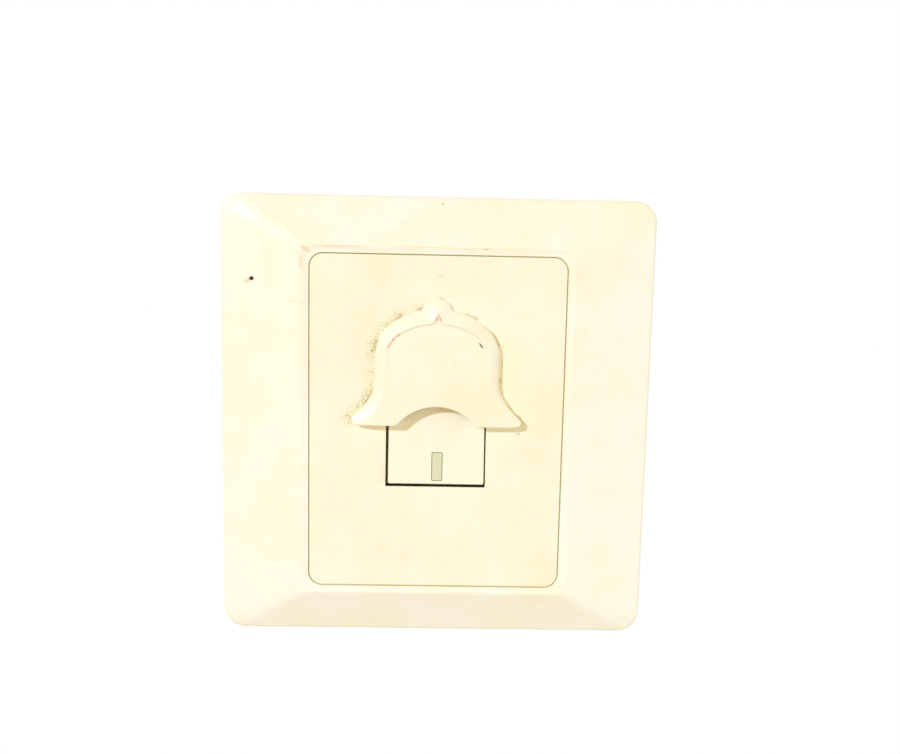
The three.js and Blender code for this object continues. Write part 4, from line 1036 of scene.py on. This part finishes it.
def worn_metal(name, bright, dull, smoothest, roughest, grain):
    """Bare metal whose bright areas are broken up by tarnish, with fine directional scratches."""
    material, tree, shader, place = new_material(name)
    tarnish = uneven(tree, place, TARNISH, 4.0, 0.65, 0.35, 0.7, 0.0, 1.0)
    tones = {0: tarnish, 6: linear(bright), 7: linear(dull)}
    colour = add_node(tree, "ShaderNodeMix", tones, data_type="RGBA").outputs[2]
    tree.links.new(colour, shader.inputs["Base Color"])
    polish = add_node(tree, "ShaderNodeMapRange", {
        "Value": tarnish, "To Min": smoothest, "To Max": roughest,
    }, interpolation_type="SMOOTHSTEP").outputs[0]
    tree.links.new(polish, shader.inputs["Roughness"])
    lines = add_node(tree, "ShaderNodeMapping", {"Vector": place, "Scale": (1, 0.1, 1)}).outputs[0]
    scratches = add_node(tree, "ShaderNodeTexNoise", {
        "Vector": lines, "Scale": 1 / grain, "Detail": 2.0, "Roughness": 0.6,
    }).outputs["Fac"]
    bump = add_node(tree, "ShaderNodeBump", {"Height": scratches, "Strength": 0.15, "Distance": 0.00005})
    tree.links.new(bump.outputs[0], shader.inputs["Normal"])
    shader.inputs["Metallic"].default_value = 1.0
    return material


# Warm yellow-brown, bright in places and dulled in others.
brass = worn_metal("stamped_brass", "dcbc72", "a98747", 0.25, 0.45, 0.15)
# Nearly white, and the smoothest of the bare metals.
silver = worn_metal("silver_rivet", "e2e1dc", "b7b3a6", 0.2, 0.4, 0.12)
# Cool grey with a satin sheen.
steel = worn_metal("zinc_plated_steel", "cfd0cd", "a3a39d", 0.25, 0.45, 0.15)
for side in ("left", "right"):
    for node, metal, slot, body in (
        (f"fixed_contact_{side}", brass, "terminal_brass", "base"),
        (f"terminal_block_{side}", brass, "terminal_brass", "base"),
        (f"fixed_tip_{side}", silver, "contact_silver", "base"),
        (f"bridge_tip_{side}", silver, "contact_silver", "plunger"),
    ):
        dress(softened(node, node + "_finished", 0.1), metal, slot, body, node)
bridge = softened("contact_bridge", "contact_bridge_finished", 0.1)
dress(bridge, brass, "terminal_brass", "plunger", "contact_bridge")


# Screws and return spring
# Two fixing screws hold the plate to the wall box, three close the mechanism box from behind and one
# sits in each terminal: zinc-plated, slotted, with fine threads. The spring is drawn steel wire.
def node_group(name, numbers):
    """An empty node group that takes a mesh, a material and named numbers."""
    tree = bpy.data.node_groups.new(name, "GeometryNodeTree")
    tree.interface.new_socket("Geometry", in_out="INPUT", socket_type="NodeSocketGeometry")
    tree.interface.new_socket("Material", in_out="INPUT", socket_type="NodeSocketMaterial")
    for number in numbers:
        tree.interface.new_socket(number, in_out="INPUT", socket_type="NodeSocketFloat")
    tree.interface.new_socket("Geometry", in_out="OUTPUT", socket_type="NodeSocketGeometry")
    return tree, tree.nodes.new("NodeGroupInput").outputs


def finish_group(tree, geometry, material):
    """Gives the geometry its material and hands it out."""
    coloured = add_node(tree, "GeometryNodeSetMaterial", {"Geometry": geometry, "Material": material})
    add_node(tree, "NodeGroupOutput", {"Geometry": coloured.outputs[0]})


def raised(tree, geometry, z):
    """The geometry shifted along the screw's axis."""
    offset = add_node(tree, "ShaderNodeCombineXYZ", {"Z": z}).outputs[0]
    return add_node(tree, "GeometryNodeTransform", {"Geometry": geometry, "Translation": offset}).outputs[0]


def helix(tree, turns, radius, height, wire, sides):
    """A wire wound around the axis."""
    path = add_node(tree, "GeometryNodeCurveSpiral", {
        "Resolution": 24, "Rotations": turns, "Height": height,
        "Start Radius": radius, "End Radius": radius,
    })
    round_wire = add_node(tree, "GeometryNodeCurvePrimitiveCircle", {"Resolution": sides, "Radius": wire})
    return add_node(tree, "GeometryNodeCurveToMesh", {
        "Curve": path.outputs[0], "Profile Curve": round_wire.outputs[0], "Fill Caps": True,
    }).outputs[0]


WALL_SHARE = 0.6
CAP_SHARE = 0.4
CAP_TOP = 0.8
SLOT_SHARE = 3
CORE_SHARE = 0.86
RIDGE_SHARE = 0.13
OVERLAP = 0.02
CORE_START = (OVERLAP - 1) / 2
THREADED = 0.94
THREAD_TIP = -0.96
SPIN = 0.9


def screw_group():
    """Stands a slotted screw on every point of a mesh; the points lie under the screws' heads."""
    names = ("Head radius", "Head height", "Slot width", "Slot depth", "Shank radius", "Shank length",
             "Turns", "Facing")
    tree, given = node_group("slotted_screws", names)
    head_r, head_h, slot_w, slot_d, shank_r, shank_l, turns, facing = [given[name] for name in names]
    wall_h, cap_h, cap_top, slot_long, slot_deep, core_r, core_l, core_z, ridge, thread_l, thread_z = (
        add_node(tree, "ShaderNodeMath", {0: measure, 1: share}, operation="MULTIPLY").outputs[0]
        for measure, share in (
            (head_h, WALL_SHARE), (head_h, CAP_SHARE), (head_r, CAP_TOP), (head_r, SLOT_SHARE),
            (slot_d, 2), (shank_r, CORE_SHARE), (shank_l, 1 + OVERLAP), (shank_l, CORE_START),
            (shank_r, RIDGE_SHARE), (shank_l, THREADED), (shank_l, THREAD_TIP),
        )
    )
    wall_z = add_node(tree, "ShaderNodeMath", {0: wall_h, 1: 0.5}, operation="MULTIPLY").outputs[0]
    wall = add_node(tree, "GeometryNodeMeshCylinder", {"Vertices": 40, "Radius": head_r, "Depth": wall_h})
    cap = add_node(tree, "GeometryNodeMeshCone", {
        "Vertices": 40, "Radius Top": cap_top, "Radius Bottom": head_r, "Depth": cap_h,
    })
    core = add_node(tree, "GeometryNodeMeshCylinder", {"Vertices": 24, "Radius": core_r, "Depth": core_l})
    slot_size = add_node(tree, "ShaderNodeCombineXYZ", {"X": slot_long, "Y": slot_w, "Z": slot_deep})
    slot = add_node(tree, "GeometryNodeMeshCube", {"Size": slot_size.outputs[0]})
    union = add_node(tree, "GeometryNodeMeshBoolean", operation="UNION", solver="MANIFOLD")
    for solid, z in ((wall, wall_z), (cap, wall_h), (core, core_z)):
        tree.links.new(raised(tree, solid.outputs[0], z), union.inputs["Mesh 2"])
    slotted = add_node(tree, "GeometryNodeMeshBoolean", {
        "Mesh 1": union.outputs[0], "Mesh 2": raised(tree, slot.outputs[0], head_h),
    }, operation="DIFFERENCE", solver="MANIFOLD")
    thread = raised(tree, helix(tree, turns, core_r, thread_l, ridge, 4), thread_z)
    screw = add_node(tree, "GeometryNodeJoinGeometry")
    tree.links.new(slotted.outputs[0], screw.inputs[0])
    tree.links.new(thread, screw.inputs[0])
    number = add_node(tree, "GeometryNodeInputIndex").outputs[0]
    spin = add_node(tree, "ShaderNodeMath", {0: number, 1: SPIN}, operation="MULTIPLY").outputs[0]
    facing_angles = add_node(tree, "ShaderNodeCombineXYZ", {"X": facing, "Y": spin}).outputs[0]
    turned = add_node(tree, "FunctionNodeEulerToRotation", {"Euler": facing_angles}).outputs[0]
    placed = add_node(tree, "GeometryNodeInstanceOnPoints", {
        "Points": given["Geometry"], "Instance": screw.outputs[0], "Rotation": turned,
    })
    real = add_node(tree, "GeometryNodeRealizeInstances", {"Geometry": placed.outputs[0]})
    finish_group(tree, real.outputs[0], given["Material"])
    return tree


def grown(name, tree, points, material, numbers):
    """A mesh grown by a node group on points given face-on in millimetres."""
    mesh = bpy.data.meshes.new(name)
    mesh.from_pydata(to_frame(points), [], [])
    piece = in_scene(name, mesh)
    growth = piece.modifiers.new("growth", "NODES")
    growth.node_group = tree
    inputs = {item.name: item.identifier for item in tree.interface.items_tree if item.in_out == "INPUT"}
    growth[inputs["Material"]] = material
    for number, value in numbers.items():
        growth[inputs[number]] = float(value)
    bake(piece)
    return smooth(piece, 35)


def screw_numbers(node, head_height, slot_width, slot_depth, shank_radius, pitch, facing):
    """The measures of a screw from its node: the whole length and the head's radius are the node's."""
    low, high = node_size(node)
    shank = high[2] - low[2] - head_height
    return {
        "Head radius": (high[0] - low[0]) / 2 * MM, "Head height": head_height * MM,
        "Slot width": slot_width * MM, "Slot depth": slot_depth * MM,
        "Shank radius": shank_radius * MM, "Shank length": shank * MM,
        "Turns": shank * THREADED / pitch, "Facing": facing * math.pi / 2,
    }


def under_heads(nodes, head_height, facing):
    """Where the undersides of the screws' heads lie."""
    places = []
    for node in nodes:
        low, high = node_size(node)
        z = high[2] - head_height if facing > 0 else low[2] + head_height
        places.append(((low[0] + high[0]) / 2, (low[1] + high[1]) / 2, z))
    return places


screws = screw_group()
for name, nodes, head_height, slot_width, slot_depth, shank_radius, pitch, facing in (
    ("fixing_screws", ("fixing_screw_left", "fixing_screw_right"), 1.6, 0.9, 0.7, 1.75, 0.7, 1),
    ("housing_screws", ("housing_screw_upper", "housing_screw_lower_left", "housing_screw_lower_right"),
     1.6, 0.8, 0.6, 1.45, 1.0, -1),
    ("clamp_screws", ("terminal_screw_left", "terminal_screw_right"), 1.5, 0.8, 0.7, 1.65, 0.6, -1),
):
    numbers = screw_numbers(nodes[0], head_height, slot_width, slot_depth, shank_radius, pitch, facing)
    piece = grown(name, screws, under_heads(nodes, head_height, facing), steel, numbers)
    dress(piece, steel, "screw_steel", "base", *nodes)


def spring_group():
    """A wire helix on every point of a mesh, wound towards the viewer."""
    names = ("Radius", "Wire", "Height", "Turns")
    tree, given = node_group("wound_springs", names)
    coil = helix(tree, given["Turns"], given["Radius"], given["Height"], given["Wire"], 10)
    turned = add_node(tree, "FunctionNodeEulerToRotation", {"Euler": (math.pi / 2, 0, 0)}).outputs[0]
    placed = add_node(tree, "GeometryNodeInstanceOnPoints", {
        "Points": given["Geometry"], "Instance": coil, "Rotation": turned,
    })
    real = add_node(tree, "GeometryNodeRealizeInstances", {"Geometry": placed.outputs[0]})
    finish_group(tree, real.outputs[0], given["Material"])
    return tree


WIRE_R = 0.25
SPRING_TURNS = 7.5
spring_low, spring_high = node_size("return_spring")
spring_x, spring_y = (spring_low[0] + spring_high[0]) / 2, (spring_low[1] + spring_high[1]) / 2
spring_length = spring_high[2] - spring_low[2]
# Mid grey, with fine draw lines along the wire.
wire_steel = worn_metal("drawn_spring_wire", "c6c7c6", "9a9a97", 0.2, 0.4, 0.08)
spring_foot = (spring_x, spring_y, spring_low[2] + WIRE_R)
spring = grown("return_spring_coil", spring_group(), [spring_foot], wire_steel, {
    "Radius": ((spring_high[0] - spring_low[0]) / 2 - WIRE_R) * MM, "Wire": WIRE_R * MM,
    "Height": (spring_length - 2 * WIRE_R) * MM, "Turns": SPRING_TURNS,
})
dress(spring, wire_steel, "spring_steel", "base", "return_spring")
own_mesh(spring)


# View, light and floor
# The camera stands where the photograph was taken from, a little above the middle and close by. A
# lamp at the upper left front gives fairly crisp shadows, a broad one lifts the slopes at the right,
# and a pale room, warm in front and plain white to the eye, fills the rest.
CAMERA_PITCH = 7.25071268
CAMERA_YAW = -1.26801245
CAMERA_ROLL = 1.20102588
CAMERA_PLACE = (-2.87624237, 8.28352821, 184.28208838)
turn = (
    Matrix.Rotation(math.radians(CAMERA_ROLL), 3, "Z")
    @ Matrix.Rotation(math.radians(CAMERA_PITCH), 3, "X")
    @ Matrix.Rotation(math.radians(CAMERA_YAW), 3, "Y")
)


def from_lens(vector):
    """A direction or place with x right, y down and z into the wall, in the frame."""
    return Vector((vector[0], vector[2], -vector[1]))


lens = bpy.data.cameras.new("photo_view")
lens.lens = 36
lens.sensor_width = 36
lens.clip_start = 0.01
camera = in_scene("photo_view", lens)
right, down, ahead = (from_lens(turn[i]) for i in range(3))
centre = from_lens(-(turn.transposed() @ Vector(CAMERA_PLACE))) * MM
camera.matrix_world = Matrix.Translation(centre) @ Matrix((right, -down, -ahead)).transposed().to_4x4()
bpy.context.scene.camera = camera

for name, energy, spread, colour, travel in (
    ("window_lamp", 2.47, 4, (0.59, 0.715, 1.0), (0.8, 1, -0.52)),
    ("soft_right", 1.6, 60, (0.4, 0.62, 0.9), (-1, 0.4, 0.1)),
):
    sun = bpy.data.lights.new(name, "SUN")
    sun.energy = energy
    sun.angle = math.radians(spread)
    sun.color = colour
    in_scene(name, sun).rotation_euler = Vector(travel).to_track_quat("-Z", "Y").to_euler()

ROOM_STRENGTH = 0.71
world = bpy.data.worlds.new("pale_room")
bpy.context.scene.world = world
world.use_nodes = True
sky = world.node_tree
for node in list(sky.nodes):
    sky.nodes.remove(node)
rays = add_node(sky, "ShaderNodeLightPath").outputs
seen = rays["Is Camera Ray"]
for kind in ("Is Glossy Ray", "Is Transmission Ray"):
    seen = add_node(sky, "ShaderNodeMath", {0: seen, 1: rays[kind]}, operation="MAXIMUM").outputs[0]
heading = add_node(sky, "ShaderNodeSeparateXYZ", {0: add_node(sky, "ShaderNodeTexCoord").outputs[0]})
room = laid_over(sky, linear("f8dc9b"), heading.outputs["Y"], -0.05, 0.4, "f6f2ea")
fill = add_node(sky, "ShaderNodeBackground", {"Color": room, "Strength": ROOM_STRENGTH})
white = add_node(sky, "ShaderNodeBackground", {"Color": (1, 1, 1, 1), "Strength": 1.0})
both = add_node(sky, "ShaderNodeMixShader", {0: seen, 1: fill.outputs[0], 2: white.outputs[0]})
add_node(sky, "ShaderNodeOutputWorld", {"Surface": both.outputs[0]})

FLOOR_Z = -0.3
FLOOR_R = 0.3
FLOOR_CLOUD = 40.0
bpy.ops.mesh.primitive_circle_add(vertices=96, radius=FLOOR_R, fill_type="NGON", location=(0, 0, FLOOR_Z))
floor = bpy.context.object
floor.name = "pale_floor"
# White paint, faintly cloudy, so that the floor isn't one flat tone.
floor_material, floor_tree, floor_shader, floor_place = new_material("pale_paint")
cloudy = add_node(floor_tree, "ShaderNodeTexNoise", {
    "Vector": floor_place, "Scale": 1 / FLOOR_CLOUD, "Detail": 2.0, "Roughness": 0.5,
}).outputs["Fac"]
floor_tones = {0: cloudy, 6: linear("f4f3ef"), 7: linear("f8f7f4")}
floor_tone = add_node(floor_tree, "ShaderNodeMix", floor_tones, data_type="RGBA").outputs[2]
floor_tree.links.new(floor_tone, floor_shader.inputs["Base Color"])
floor_shader.inputs["Roughness"].default_value = 0.8
floor.data.materials.append(floor_material)

bpy.context.scene.view_settings.view_transform = "Standard"
